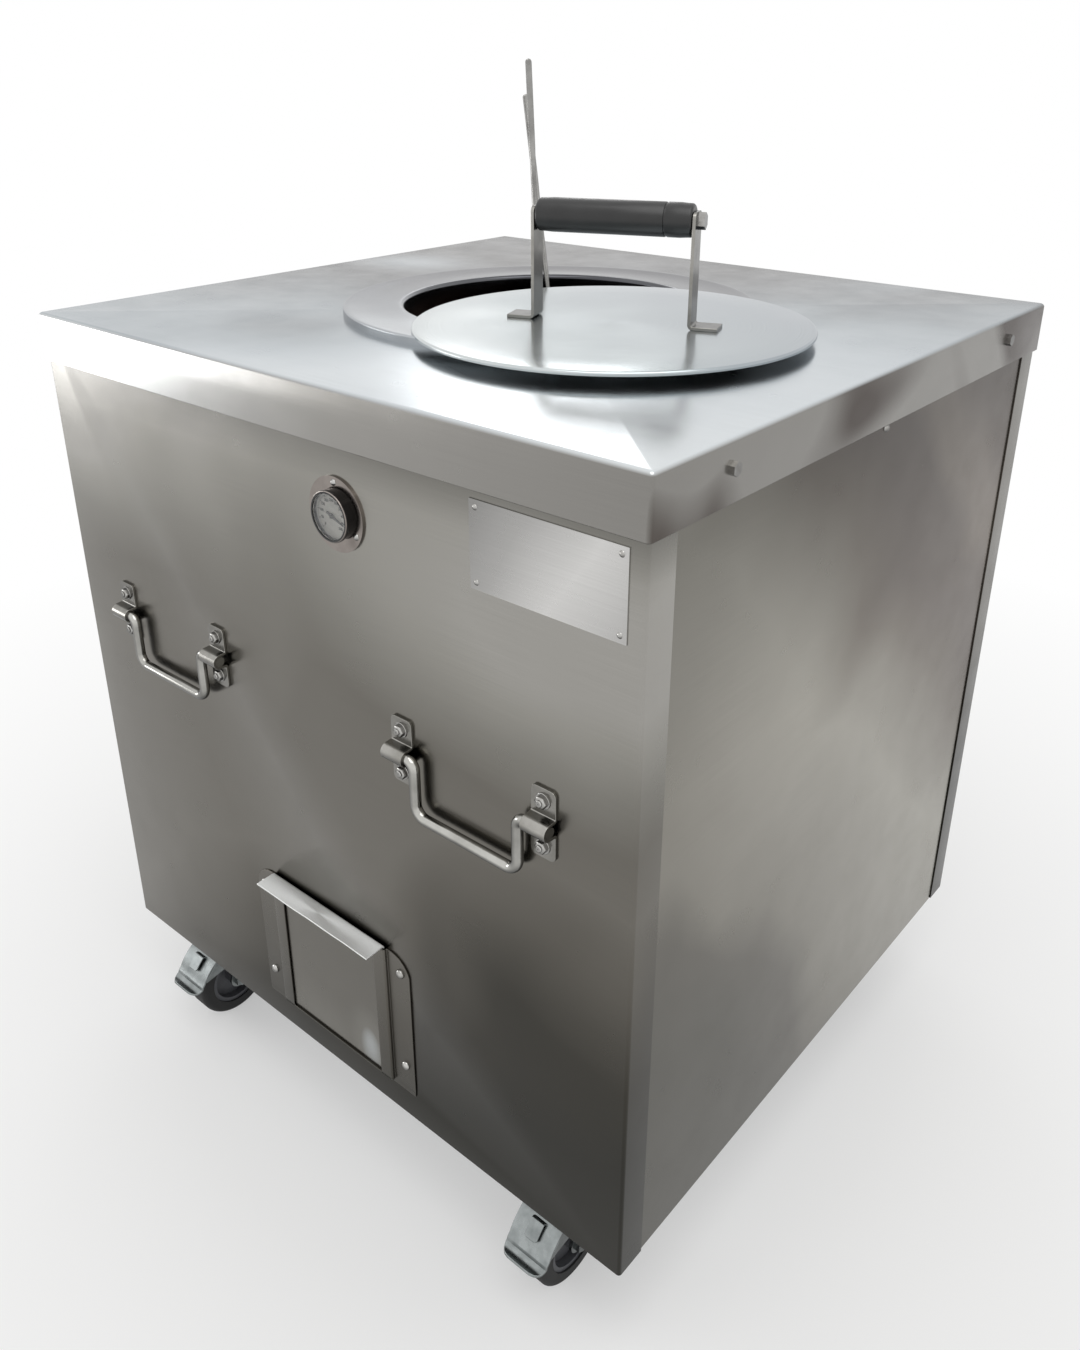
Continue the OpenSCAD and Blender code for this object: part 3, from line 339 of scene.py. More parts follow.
def rolled_steel(name, tones, grain, roughness, run, painted_cloud_share=0.08, patches=(), skirt=None,
                 shade=None, scuffed_above=None):
    """Stainless sheet with a fine satin finish: a metal whose close parallel scratches smear what
    it mirrors.
    Its tones run in wide bands of painted reflection and shade across the sheet, bent by soft
    painted clouds;
    a folded skirt can have a run and painted light and shade of its own, and a panel gets painted
    shade under it."""
    stuff, tree, out = new_material(name)
    place = add(tree, "TexCoord").outputs["Object"]
    # Real brushing is about 0.1 mm apart; drawn 0.6 mm apart and 150 mm long so that it shows
    fine, long = 1 / (0.6 * MM), 1 / (150 * MM)
    scale = [long if axis == grain else fine for axis in "XYZ"]
    height = add(tree, "SeparateXYZ", {}, {0: place}).outputs["Z"]
    stretched = add(tree, "Mapping", {"Scale": scale}, {"Vector": place}).outputs[0]
    brushing = add(tree, "TexNoise", {"Scale": 1.0, "Detail": 2.0}, {"Vector": stretched})
    # Rolling leaves the sheet faintly wavy, a hand or two from crest to crest; the same clouds
    # also bend the painted reflection
    clouds = add(tree, "TexNoise", {"Scale": 1 / (240 * MM), "Detail": 1.5, "Roughness": 0.45,
                                    "Distortion": 0.5}, {"Vector": place})
    smears = add(tree, "TexNoise", {"Scale": 1 / (55 * MM), "Detail": 4.0, "Roughness": 0.6},
                 {"Vector": place})
    # Painted reflection: the tone runs along the sheet, bent by the clouds
    painted_clouds = mapped(tree, clouds.outputs[0], 0.25, 0.75, -painted_cloud_share, painted_cloud_share)
    tone = add(tree, "Math", {"operation": "ADD"}, {0: along(tree, place, run), 1: painted_clouds})
    body = ramp(tree, painted_reflection_patches(tree, place, tone.outputs[0], patches), tones)
    # The skirt's own run and tones paint light and shade on its sides
    if skirt:
        skirt_run, skirt_tones = skirt
        flat = mapped(tree, height, (CAP_TOP - 3.2) * MM, (CAP_TOP - 0.4) * MM, 0.0, 1.0)
        fold = add(tree, "Math", {"operation": "MULTIPLY_ADD", 1: 0.25},
                   {0: painted_clouds, 2: along(tree, place, skirt_run)})
        body = add(tree, "Mix", {"data_type": "RGBA"},
                   {0: flat, 6: ramp(tree, fold.outputs[0], skirt_tones), 7: body}).outputs[2]
    streak = mapped(tree, brushing.outputs[0], 0.3, 0.7, 0.965, 1.025)
    # Painted shade: the sheet is darker just below the cap's skirt
    if shade:
        low, high, share = shade
        painted_skirt_shade = mapped(tree, height, low * MM, high * MM, 1.0, share)
        streak = add(tree, "Math", {"operation": "MULTIPLY"}, {0: streak, 1: painted_skirt_shade}).outputs[0]
    tinted = add(tree, "VectorMath", {"operation": "SCALE"}, {0: body, "Scale": streak})
    worn = mapped(tree, smears.outputs[0], 0.35, 0.7, roughness - 0.03, roughness + 0.04)
    if scuffed_above:
        scuff = mapped(tree, height, (scuffed_above - 1) * MM, scuffed_above * MM, 0.0, 0.42)
        worn = add(tree, "Math", {"operation": "ADD"}, {0: worn, 1: scuff}).outputs[0]
    wave = add(tree, "Bump", {"Strength": 0.5, "Distance": 1.2 * MM},
               {"Height": clouds.outputs[0]})
    lines = add(tree, "Bump", {"Strength": 0.04, "Distance": 0.1 * MM},
                {"Height": brushing.outputs[0], "Normal": wave.outputs[0]})
    metal = add(tree, "BsdfPrincipled", {"Metallic": 1.0, "Anisotropic": 0.4},
                {"Base Color": tinted.outputs[0], "Roughness": worn,
                 "Normal": lines.outputs[0]})
    finish_material(tree, out, metal)
    return stuff


def spun_steel(name, tones, run, centre, roughness):
    """Stainless sheet turned and polished on a wheel: rings of fine scratches around the middle,
    which catch the light in a fan. Its tones run across it as a painted reflection, bent by soft
    painted clouds."""
    stuff, tree, out = new_material(name)
    place = add(tree, "TexCoord").outputs["Object"]
    middle = cabinet(centre[0], centre[1], 0)
    moved = add(tree, "VectorMath", {"operation": "SUBTRACT", 1: tuple(middle)}, {0: place})
    flat = add(tree, "VectorMath", {"operation": "MULTIPLY", 1: (1, 1, 0)},
               {0: moved.outputs[0]})
    radius = add(tree, "VectorMath", {"operation": "LENGTH"}, {0: flat.outputs[0]})
    # Turning marks are about 0.2 mm apart; drawn 1.4 mm apart so that they show
    rings = add(tree, "TexNoise", {"noise_dimensions": "1D", "Scale": 1 / (1.4 * MM),
                                   "Detail": 2.0}, {"W": radius.outputs["Value"]})
    clouds = add(tree, "TexNoise", {"Scale": 1 / (140 * MM), "Detail": 3.0}, {"Vector": place})
    painted_clouds = mapped(tree, clouds.outputs[0], 0.3, 0.7, -0.12, 0.12)
    # Painted reflection: darker at one side of the disc, brighter at the other
    tone = add(tree, "Math", {"operation": "ADD"}, {0: along(tree, place, run), 1: painted_clouds})
    body = ramp(tree, tone.outputs[0], tones)
    streak = mapped(tree, rings.outputs[0], 0.3, 0.7, 0.93, 1.04)
    tinted = add(tree, "VectorMath", {"operation": "SCALE"}, {0: body, "Scale": streak})
    rough = mapped(tree, clouds.outputs[0], 0.35, 0.7, roughness - 0.03, roughness + 0.04)
    lines = add(tree, "Bump", {"Strength": 0.12, "Distance": 0.2 * MM},
                {"Height": rings.outputs[0]})
    turned = add(tree, "Tangent", {"direction_type": "RADIAL", "axis": "Z"})
    metal = add(tree, "BsdfPrincipled", {"Metallic": 1.0, "Anisotropic": 0.5},
                {"Base Color": tinted.outputs[0], "Roughness": rough,
                 "Normal": lines.outputs[0], "Tangent": turned.outputs[0]})
    finish_material(tree, out, metal)
    return stuff


def worked_metal(name, tone, dark, roughness, patch=6.0, bump=0.1, rim=0.0):
    """Drawn, stamped or plated metal: close in tone, with small patches of wear. A polished
    bar is painted darker near its rims and under itself, by the share rim: painted shade."""
    stuff, tree, out = new_material(name)
    place = add(tree, "TexCoord").outputs["Object"]
    wear = add(tree, "TexNoise", {"Scale": 1 / (patch * MM), "Detail": 4.0, "Roughness": 0.6},
               {"Vector": place})
    body = ramp(tree, wear.outputs[0], [(0.3, dark), (0.62, tone)])
    rough = mapped(tree, wear.outputs[0], 0.3, 0.7, roughness + 0.07, roughness - 0.04)
    grain = add(tree, "Bump", {"Strength": bump, "Distance": 0.3 * MM},
                {"Height": wear.outputs[0]})
    # Painted shade: darker where the surface turns from view and where it faces down
    if rim:
        turned = add(tree, "LayerWeight", {"Blend": 0.5}).outputs["Facing"]
        facing_up = add(tree, "SeparateXYZ", {}, {0: add(tree, "TexCoord").outputs["Normal"]})
        edge = mapped(tree, turned, 0.25, 0.75, 1.0, 1.0 - rim)
        under = mapped(tree, facing_up.outputs["Z"], -0.7, 0.3, 1.0 - rim, 1.0)
        share = add(tree, "Math", {"operation": "MULTIPLY"}, {0: edge, 1: under}).outputs[0]
        body = add(tree, "VectorMath", {"operation": "SCALE"},
                   {0: body, "Scale": share}).outputs[0]
    metal = add(tree, "BsdfPrincipled", {"Metallic": 1.0},
                {"Base Color": body, "Roughness": rough, "Normal": grain.outputs[0]})
    finish_material(tree, out, metal)
    return stuff


def moulded(name, tone, dark, roughness, grit, bump, ior=1.5):
    """Paint, plastic, rubber or enamel: an even colour, broken by fine grit and dust."""
    stuff, tree, out = new_material(name)
    place = add(tree, "TexCoord").outputs["Object"]
    grain = add(tree, "TexNoise", {"Scale": 1 / (grit * MM), "Detail": 3.0}, {"Vector": place})
    dust = add(tree, "TexNoise", {"Scale": 1 / (18 * MM), "Detail": 4.0}, {"Vector": place})
    body = ramp(tree, dust.outputs[0], [(0.35, dark), (0.65, tone)])
    rough = mapped(tree, dust.outputs[0], 0.3, 0.7, roughness - 0.06, roughness + 0.06)
    relief = add(tree, "Bump", {"Strength": bump, "Distance": 0.25 * MM},
                 {"Height": grain.outputs[0]})
    skin = add(tree, "BsdfPrincipled", {"IOR": ior},
               {"Base Color": body, "Roughness": rough, "Normal": relief.outputs[0]})
    finish_material(tree, out, skin)
    return stuff


def fired_earth(name, tone, dark, soot, soot_from, soot_to, roughness=0.85):
    """Low-fired clay or firebrick: matte and porous, hand-smoothed in wide sweeps, with
    soot where the fire's smoke leaves."""
    stuff, tree, out = new_material(name)
    place = add(tree, "TexCoord").outputs["Object"]
    # The grains of grog sit about 4 mm apart, and the strokes of a hand are 60 mm wide
    grog = add(tree, "TexVoronoi", {"Scale": 1 / (4 * MM)}, {"Vector": place})
    body_noise = add(tree, "TexNoise", {"Scale": 1 / (60 * MM), "Detail": 6.0,
                                        "Roughness": 0.65}, {"Vector": place})
    body = ramp(tree, body_noise.outputs[0], [(0.3, dark), (0.68, tone)])
    split = add(tree, "SeparateXYZ", {}, {0: place})
    smoke = mapped(tree, split.outputs["Z"], soot_from * MM, soot_to * MM, 0.0, 0.92)
    broken = add(tree, "Math", {"operation": "MULTIPLY"}, {0: smoke, 1: mapped(
        tree, body_noise.outputs[0], 0.25, 0.6, 0.75, 1.0)})
    colour = add(tree, "Mix", {"data_type": "RGBA", 7: linear(soot)},
                 {0: broken.outputs[0], 6: body})
    coarse = add(tree, "Bump", {"Strength": 0.6, "Distance": 2.5 * MM},
                 {"Height": body_noise.outputs[0]})
    fine = add(tree, "Bump", {"Strength": 0.35, "Distance": 0.6 * MM},
               {"Height": grog.outputs[0], "Normal": coarse.outputs[0]})
    skin = add(tree, "BsdfPrincipled", {"Roughness": roughness, "IOR": 1.5},
               {"Base Color": colour.outputs[2], "Normal": fine.outputs[0]})
    finish_material(tree, out, skin)
    return stuff


def window_glass(name):
    """Clear soda-lime glass with a faint reflection, so that the dial reads through it; its
    shadow is left out, so that the dial is lit."""
    stuff, tree, out = new_material(name)
    clear = add(tree, "BsdfPrincipled", {"Base Color": linear("#fcfdfc"), "Roughness": 0.02,
                                         "Transmission Weight": 1.0, "IOR": 1.5,
                                         "Specular IOR Level": 0.06})
    unlit = add(tree, "BsdfTransparent", {"Color": linear("#f2f5f4")})
    ray = add(tree, "LightPath")
    both = add(tree, "MixShader", {}, {0: ray.outputs["Is Shadow Ray"], 1: clear.outputs[0],
                                       2: unlit.outputs[0]})
    finish_material(tree, out, both)
    return stuff


# Painted reflection and shade: the front runs dark at the bottom to bright at the top, with a
# painted highlight at the upper right, a painted dark reflection at the left, a painted highlight
# low at the left under the skirt, and painted shade just below the skirt
FRONT_STEEL = rolled_steel("satin_front_sheet", [
    (0.0, "#363531"), (0.12, "#403e39"), (0.26, "#605d57"), (0.40, "#716e68"), (0.60, "#6e6b65"),
    (0.78, "#807e78"), (0.92, "#93918b"), (1.0, "#9d9b96")],
    "X", 0.24, ((-0.46, 0, 1), 125, 880), 0.10,
    [((380, -350, 700), (430, 900, 230), 0.5), ((-330, -350, 610), (330, 900, 170), -0.32),
     ((-330, -350, 860), (260, 900, 60), 0.3)], shade=(798, 831, 0.66))
# The sides' many bands are painted reflections, with painted shade below the skirt
SIDE_STEEL = rolled_steel("satin_side_sheet", [
    (0.0, "#55534d"), (0.18, "#5c5a54"), (0.25, "#68655f"), (0.31, "#86837b"), (0.42, "#95928a"),
    (0.53, "#9e9b92"), (0.60, "#89857c"), (0.66, "#6f685f"), (0.74, "#5c534c"), (0.79, "#5d544d"),
    (0.83, "#776e65"), (0.88, "#7b7269"), (0.92, "#665c54"), (1.0, "#645a52")],
    "Y", 0.24, ((0, 1, 1), -150, 1100), 0.05, shade=(600, 820, 0.5))
# Painted reflection: the cap's top runs dark at the back left to bright at the front right, with a
# painted bright and a painted dark patch; its skirt is painted bright at the front's left end,
# darker towards the right and darkest on the right side, as painted light and shade
CAP_STEEL = rolled_steel("satin_cap_sheet", [
    (0.0, "#34322f"), (0.2, "#454340"), (0.34, "#6b6c6d"), (0.45, "#8c9093"), (0.55, "#aab0b4"),
    (0.68, "#bfc5c9"), (0.82, "#d0d5d8"), (1.0, "#dde1e2")],
    "X", 0.24, ((0.6, -0.8, 0), -510, 510), 0.09,
    [((-330, 120, 880), (150, 110, 900), 0.3), ((-120, -250, 880), (170, 120, 900), -0.14)],
    (((1, 0, 0), -380, 380), [
        (0.0, "#8f8d89"), (0.004, "#dcdcda"), (0.12, "#dcdddc"), (0.2, "#b9bab9"),
        (0.35, "#a5a5a3"), (0.6, "#93918d"), (0.994, "#888682"), (0.999, "#463e39")]))
# Painted reflection: the ring runs dark at the back left to bright at the front right, and the lid
# brightens towards the front left
RING_STEEL = spun_steel("spun_ring_sheet", [
    (0.0, "#46464a"), (0.35, "#6f7073"), (0.55, "#8d8f93"), (1.0, "#c2c6c9")],
    ((0.6, -0.8, 0), -210, 210), (0, 0), 0.20)
LID_STEEL = spun_steel("spun_lid_sheet", [
    (0.0, "#9ea4aa"), (0.35, "#aab1b5"), (0.6, "#b9c1c3"), (0.8, "#c9cfd0"), (1.0, "#d2d6d6")],
    ((-0.55, -0.83, 0), -200, 200), LID_PLACE, 0.17)
# Painted reflection: the lip's top is painted near white, mirroring the panel above it, and a
# painted highlight brightens the plate's lower right; the plate's other tones also run in painted
# bands
DOOR_STEEL = rolled_steel("satin_door_sheet", [
    (0.0, "#f2f3f2"), (0.14, "#a9acac"), (0.24, "#7c7a74"), (0.55, "#6c6963"), (1.0, "#66635d")],
    "Z", 0.24, ((-0.2, 0, 1), 90, 336), 0.12,
    [((60, -353, 200), (38, 900, 62), -0.33), ((0, -362, 338), (900, 900, 9), -3.0)],
    scuffed_above=333.5)
# Painted shade and sheen: the guides are darker towards the bottom, and the plate has a painted
# bright band across it
GUIDE_STEEL = rolled_steel("satin_guide_sheet", [
    (0.0, "#4b4944"), (0.5, "#5a5751"), (1.0, "#6a6761")], "Z", 0.28, ((0, 0, 1), 160, 335))
PLATE_STEEL = rolled_steel("brushed_blank_plate", [
    (0.0, "#8f8e8c"), (0.3, "#a9a8a6"), (0.6, "#cfcecc"), (1.0, "#b3b2b0")],
    "X", 0.27, ((1, 0, -0.6), -270, -90), 0.16)
# The last number of each metal below is a share of painted shade, darker at the outlines and on
# faces turned down
HANDLE_STEEL = worked_metal("polished_handle_steel", "#c2c1bc", "#aaa9a4", 0.12, 30.0, 0.02, 0.85)
STRAP_STEEL = worked_metal("formed_strap_steel", "#aeaca7", "#97958f", 0.19, 22.0, 0.04, 0.7)
BOLT_STEEL = worked_metal("turned_bolt_steel", "#c3c2bf", "#a5a39f", 0.17, 8.0, 0.05, 0.75)
ROD_STEEL = worked_metal("drawn_bar_steel", "#a9a8a5", "#8a8986", 0.24, 24.0, 0.06, 0.6)
ZINC = worked_metal("bright_zinc_plate", "#a2a7a7", "#818686", 0.28, 18.0, 0.05, 0.6)
FLANGE_METAL = worked_metal("nickel_plated_flange", "#a59d97", "#8d8580", 0.16, 26.0, 0.02, 0.5)
GALVANISED = worked_metal("galvanised_sheet", "#9da2a4", "#7b8083", 0.42, 16.0, 0.1)
PROBE_STEEL = worked_metal("probe_tube_steel", "#8e8c88", "#6d6b67", 0.35, 6.0, 0.1)
IRON_PAINT = moulded("painted_angle_iron", "#2c2c2d", "#1e1e1f", 0.5, 3.0, 0.3)
ENAMEL = moulded("black_enamel_case", "#0d0d0d", "#060606", 0.22, 3.0, 0.03, 1.5)
# The white dial is drawn grey: painted shade from the deep case around it
DIAL_PAINT = moulded("white_dial_paint", "#a19d97", "#908c86", 0.6, 1.5, 0.04)
DIAL_INK = moulded("black_dial_ink", "#0e0e0e", "#070707", 0.6, 1.5, 0.02)
PHENOLIC = moulded("black_phenolic_grip", "#1c1c1c", "#111111", 0.36, 1.2, 0.12, 1.6)
RUBBER = moulded("black_tyre_rubber", "#242424", "#171717", 0.72, 1.5, 0.35)
HUB_PLASTIC = moulded("grey_hub_plastic", "#55565a", "#434448", 0.5, 2.0, 0.12)
WOOL = moulded("mineral_wool", "#a89f78", "#8d8562", 0.95, 2.5, 0.9)
CLAY = fired_earth("low_fired_clay", "#a8663f", "#7f4a2f", "#171412", 420, 850)
FIRECLAY = fired_earth("firebrick_slab", "#9c8670", "#6f5d4d", "#3a342f", 0, 400, 0.9)
GLASS = window_glass("gauge_window_glass")

SLOT_LOOK = {
    "painted_iron": IRON_PAINT, "galvanised": GALVANISED, "fire_slab": FIRECLAY,
    "fired_clay": CLAY, "mineral_wool": WOOL, "panel_steel": FRONT_STEEL,
    "cap_steel": CAP_STEEL, "ring_steel": RING_STEEL, "lid_steel": LID_STEEL,
    "duct_steel": GUIDE_STEEL, "bolt_steel": BOLT_STEEL, "flange_chrome": FLANGE_METAL,
    "case_black": ENAMEL, "dial_white": DIAL_PAINT, "pointer_black": DIAL_INK,
    "clear_glass": GLASS, "probe_steel": PROBE_STEEL, "plate_steel": PLATE_STEEL,
    "handle_steel": HANDLE_STEEL, "grip_black": PHENOLIC, "rod_steel": ROD_STEEL,
    "zinc": ZINC, "hub_grey": HUB_PLASTIC, "black_rubber": RUBBER,
}


def dress_frame():
    """Gives every node of the frame its finish and smooth shading."""
    for name, solid in frame["nodes"].items():
        look = SLOT_LOOK[node_slot[name]]
        if name in ("left_side_panel", "right_side_panel"):
            look = SIDE_STEEL
        solid.data.materials.clear()
        solid.data.materials.append(look)
        solid.data.shade_smooth()
        solid.data.set_sharp_from_angle(angle=math.radians(32))


# ---------------------------------------------------------------- casing

def rectangle_loop(half_x, half_y, radius, z, steps=5, middles=8):
    """A rounded rectangle around the cabinet's middle, with points along its sides."""
    radius = max(radius, 0.05)
    loop = []
    for quarter, (sx, sy) in enumerate(((1, 1), (-1, 1), (-1, -1), (1, -1))):
        cx, cy = sx * (half_x - radius), sy * (half_y - radius)
        for k in range(steps + 1):
            a = math.pi / 2 * (quarter + k / steps)
            loop.append((cx + radius * math.cos(a), cy + radius * math.sin(a), z))
    full = []
    for i, here in enumerate(loop):
        full.append(here)
        there = loop[(i + 1) % len(loop)]
        if (i + 1) % (steps + 1) == 0:
            for k in range(1, middles):
                t = k / middles
                full.append(tuple(here[j] + (there[j] - here[j]) * t for j in range(3)))
    return full


def folded_cap():
    """The cap: a top sheet with the mouth's hole, folded down all round into a skirt."""
    bend, corner = 4.0, 3.5

    def sheet_face(inset, low):
        """(inset, height) points of one face: up the skirt, then round the bend."""
        turn = [around(bend - inset, a) for a in range(0, 91, 15)]
        return [(inset, low), (inset, SKIRT_Z + 24)] + [
            (bend - x, CAP_TOP - bend + z) for x, z in turn]

    edge = [(0.5, SKIRT_Z), (SHEET - 0.3, SKIRT_Z)]
    rows = (list(reversed(sheet_face(0.0, SKIRT_Z + 0.6))) + edge
            + sheet_face(SHEET, SKIRT_Z + 0.5))
    loops = [rectangle_loop(CAP_W / 2 - i, CAP_D / 2 - i, corner - i * 0.6, z) for i, z in rows]
    hole_r = MOUTH_R + 3

    def hole(z):
        ring = []
        for x, y, _ in loops[0]:
            a = math.atan2(y, x)
            ring.append((hole_r * math.cos(a), hole_r * math.sin(a), z))
        return ring

    loops = [hole(CAP_TOP)] + loops + [hole(CAP_TOP - SHEET)]
    n = len(loops[0])
    verts = [cabinet(*p) for loop in loops for p in loop]
    faces = []
    for k in range(len(loops)):
        a, b = k * n, (k + 1) % len(loops) * n
        faces += [(a + i, a + (i + 1) % n, b + (i + 1) % n, b + i) for i in range(n)]
    piece("folded_cap_sheet", verts, faces, CAP_STEEL, "casing", "cap_steel", ["cap_tray"])


def wrapped_sheet(name, sign, stands_for):
    """Front or back sheet with its corners bent round to short returns on the sides."""
    x, y = BODY_W / 2 - SHEET / 2, sign * (BODY_D / 2 - SHEET / 2)
    end = sign * (BODY_D / 2 - RETURN_W)
    path = rounded_path([(-x, end), (-x, y), (x, y), (x, end)], 2.6, 6)
    shape = strip(path, SHEET, lambda s, t: (BODY_Z, BODY_TOP), cabinet)
    return piece(name, *shape, FRONT_STEEL, "casing", "panel_steel", [stands_for], 0.25)


def casing_sheets():
    front = wrapped_sheet("bent_front_sheet", -1, "front_panel")
    cut_away(front, (DOOR_X - DUCT_HALF, FRONT_Y - 5, DOOR_SLOT[0]),
             (DOOR_X + DUCT_HALF, FRONT_Y + 5, DOOR_SLOT[1]))
    wrapped_sheet("bent_back_sheet", 1, "back_panel")


def spun_ring():
    """The mouth's ring: a rolled rim, a shallow dish and a rolled lip into the collar."""
    ring_r, rise, fall, dip, rim_bend, lip_bend, collar = 209, 8, 0.5, 0.9, 1.8, 4.2, 30
    outer, inner = ring_r - 4, MOUTH_R + 6
    lip = (MOUTH_R + lip_bend, rise - fall - lip_bend)

    def dish(steps, drop):
        """The dished face from its outer to its inner edge, some way under its top."""
        return [Vector((outer + (inner - outer) * t,
                        rise - drop - fall * t - dip * math.sin(math.pi * t)))
                for t in [k / steps for k in range(steps + 1)]]

    section = arc((ring_r - rim_bend, rise - rim_bend), rim_bend, 0, 90, 6) + dish(12, 0)
    section += arc(lip, lip_bend, 90, 180, 8)
    section += [(MOUTH_R, -6), (MOUTH_R, 0.4 - collar), (MOUTH_R + 0.6, -collar),
                (MOUTH_R + SHEET, 0.4 - collar), (MOUTH_R + SHEET, 0)]
    section += arc(lip, lip_bend - SHEET, 180, 90, 6) + dish(8, SHEET)[::-1]
    section += [(ring_r - SHEET, rise - 2), (ring_r - SHEET, 0), (ring_r, 0)]
    shape = lathed(section, lambda x, y, z: cabinet(x, y, CAP_TOP + z), 160)
    piece("spun_mouth_ring", *shape, RING_STEEL, "casing", "ring_steel", ["mouth_ring"])


def thrown_pot():
    """The clay pot, thrown in one smooth curve, with the port that the duct enters."""
    belly_z, belly_r, mouth_r, foot_r = 210, 232, 153, 205

    def inner_r(z):
        if z < belly_z:
            return foot_r + (belly_r - foot_r) * math.sin(math.pi / 2 * z / belly_z)
        t = (z - belly_z) / (POT_H - belly_z)
        return belly_r + (mouth_r - belly_r) * (1 - math.cos(math.pi * t)) / 2

    rings = 44
    heights = [POT_H * k / rings for k in range(rings + 1)]
    inside = [(inner_r(z), z) for z in heights]
    outside = [(inner_r(z) + POT_WALL, z) for z in reversed(heights)]

    def hand_made(x, y, z):
        a, r = math.atan2(y, x), math.hypot(x, y)
        wave = 0.5 * math.sin(z / 29) + 0.4 * math.sin(3 * a + z / 70)
        r -= max(wave, 0) if r < inner_r(z) + 1 else 0
        return cabinet(r * math.cos(a), r * math.sin(a), POT_Z + z)

    pot = piece("thrown_clay_pot", *lathed(inside + outside, hand_made, 144), CLAY, "casing",
                "fired_clay", ["clay_pot"])
    room = 2                                       # the port is this much wider than the duct
    cut_away(pot, (DOOR_X - DUCT_HALF - room, -300, DOOR_SLOT[0] - room),
             (DOOR_X + DUCT_HALF + room, -100, DOOR_SLOT[1] + room))


# ---------------------------------------------------------------- lid

def on_lid(x, y, z):
    """A point near the lid, in mm, turned with its handle; z counts from the lid's top."""
    a = math.radians(LID_TURN)
    return cabinet(LID_PLACE[0] + x * math.cos(a) - y * math.sin(a),
                   LID_PLACE[1] + x * math.sin(a) + y * math.cos(a), LID_TOP + z)


def spun_lid():
    """A flat disc with its edge turned down and hemmed."""
    skirt, bend_r, flat = 4, 2.2, (0.5, 40, 90, 140)
    bend = (LID_R - bend_r, -bend_r)
    section = [(r, 0) for r in flat] + arc(bend, bend_r, 90, 0, 8)
    section += [(LID_R, 0.4 - skirt), (LID_R - 0.4, -skirt), (LID_R - 1.2, -skirt),
                (LID_R - SHEET, 0.4 - skirt)]
    section += arc(bend, bend_r - SHEET, 0, 90, 4) + [(r, -SHEET) for r in reversed(flat)]
    shape = lathed(section, on_lid, 160)
    piece("spun_lid_disc", *shape, LID_STEEL, "lid", "lid_steel", ["lid_disc"])


def lid_handle():
    """Two bent flat bars with a turned grip between them."""
    x_leg, height, foot_end, thick = 73.8, 101, 99.3, 3
    straps = []
    for side in (1, -1):
        path = rounded_path([(foot_end, thick / 2), (x_leg, thick / 2), (x_leg, height)], 3.4, 8)
        path = with_end_steps(path, 6, both=False)
        straps.append(strip(path, thick, round_ended(12.5, 6, both=False),
                            lambda u, v, w, side=side: on_lid(side * u, w, v)))
    piece("bent_lid_straps", *joined(*straps), STRAP_STEEL, "lid", "handle_steel",
          ["lid_legs"], 0.45)
    half, r, bore, grip_z = 71.8, 15, 4.1, 93
    profile = [(bore, -half), (r - 4.5, -half)]
    profile += arc((r - 3.5, -half + 3), 3, -90, 0, 6)
    profile += [(r - 0.45, -half + 6), (r, -half + 14), (r, 0), (r, half - 26)]
    profile += [(r - 0.25, half - 25.4), (r - 1.0, half - 25.2), (r - 1.0, half - 23.8),
                (r - 0.25, half - 23.6), (r, half - 23), (r, half - 12), (r - 0.45, half - 6)]
    profile += arc((r - 3.5, half - 3), 3, 0, 90, 6)
    profile += [(bore, half)]
    shape = lathed(profile, lambda x, y, z: on_lid(z, x, grip_z + y), 64)
    piece("turned_lid_grip", *shape, PHENOLIC, "lid", "grip_black", ["lid_grip"])


# ---------------------------------------------------------------- drop handles and door

def out_front(u, v, w):
    """u mm out of the front face, v up from the floor, w along X."""
    return cabinet(w, FRONT_Y - u, v)


def formed_saddles():
    """Straps formed snugly over the rod: flat, a tight neck, a half barrel and back."""
    out, rod_r, long = 9, 5.06, 65
    flat = SADDLE_T / 2
    barrel = rod_r + flat
    neck = rounded_path([(flat, -long / 2), (flat, -barrel - 0.6), (out, -barrel)], 2.2, 6)
    path = neck[:-1] + arc((out, 0), barrel, -90, 90, 14)
    path += [Vector((p.x, -p.y)) for p in reversed(neck[:-1])]
    path = with_end_steps(path, 5)
    for name, side in (("left", -1), ("right", 1)):
        shapes = []
        for end in (-1, 1):
            middle = side * HANDLE_X + end * SADDLE_SPAN / 2
            shapes.append(strip(path, SADDLE_T, round_ended(12.5, 5),
                                lambda u, v, w, m=middle: out_front(u, HANDLE_Z + v, m + w)))
        piece(f"formed_{name}_saddles", *joined(*shapes), STRAP_STEEL, "casing",
              "handle_steel", [f"{name}_handle_saddles"], 0.4)


def hex_head(x, z, out, size, height):
    """A hexagon with its corners turned off; x and z of its middle, out from the front."""
    profile = [(0.3, height), (size * 0.80, height), (size * 0.93, height - 0.35),
               (size, height - 0.9), (size, 0), (0.3, 0)]
    return lathed(profile, lambda u, v, h: out_front(out + h, z + v, x + u), 6)


def turned_stud(x, z, profile):
    """Spins (radius, height out of the front) points around one fastener's axis."""
    return lathed(profile, lambda u, v, h: out_front(h, z + v, x + u), 28)


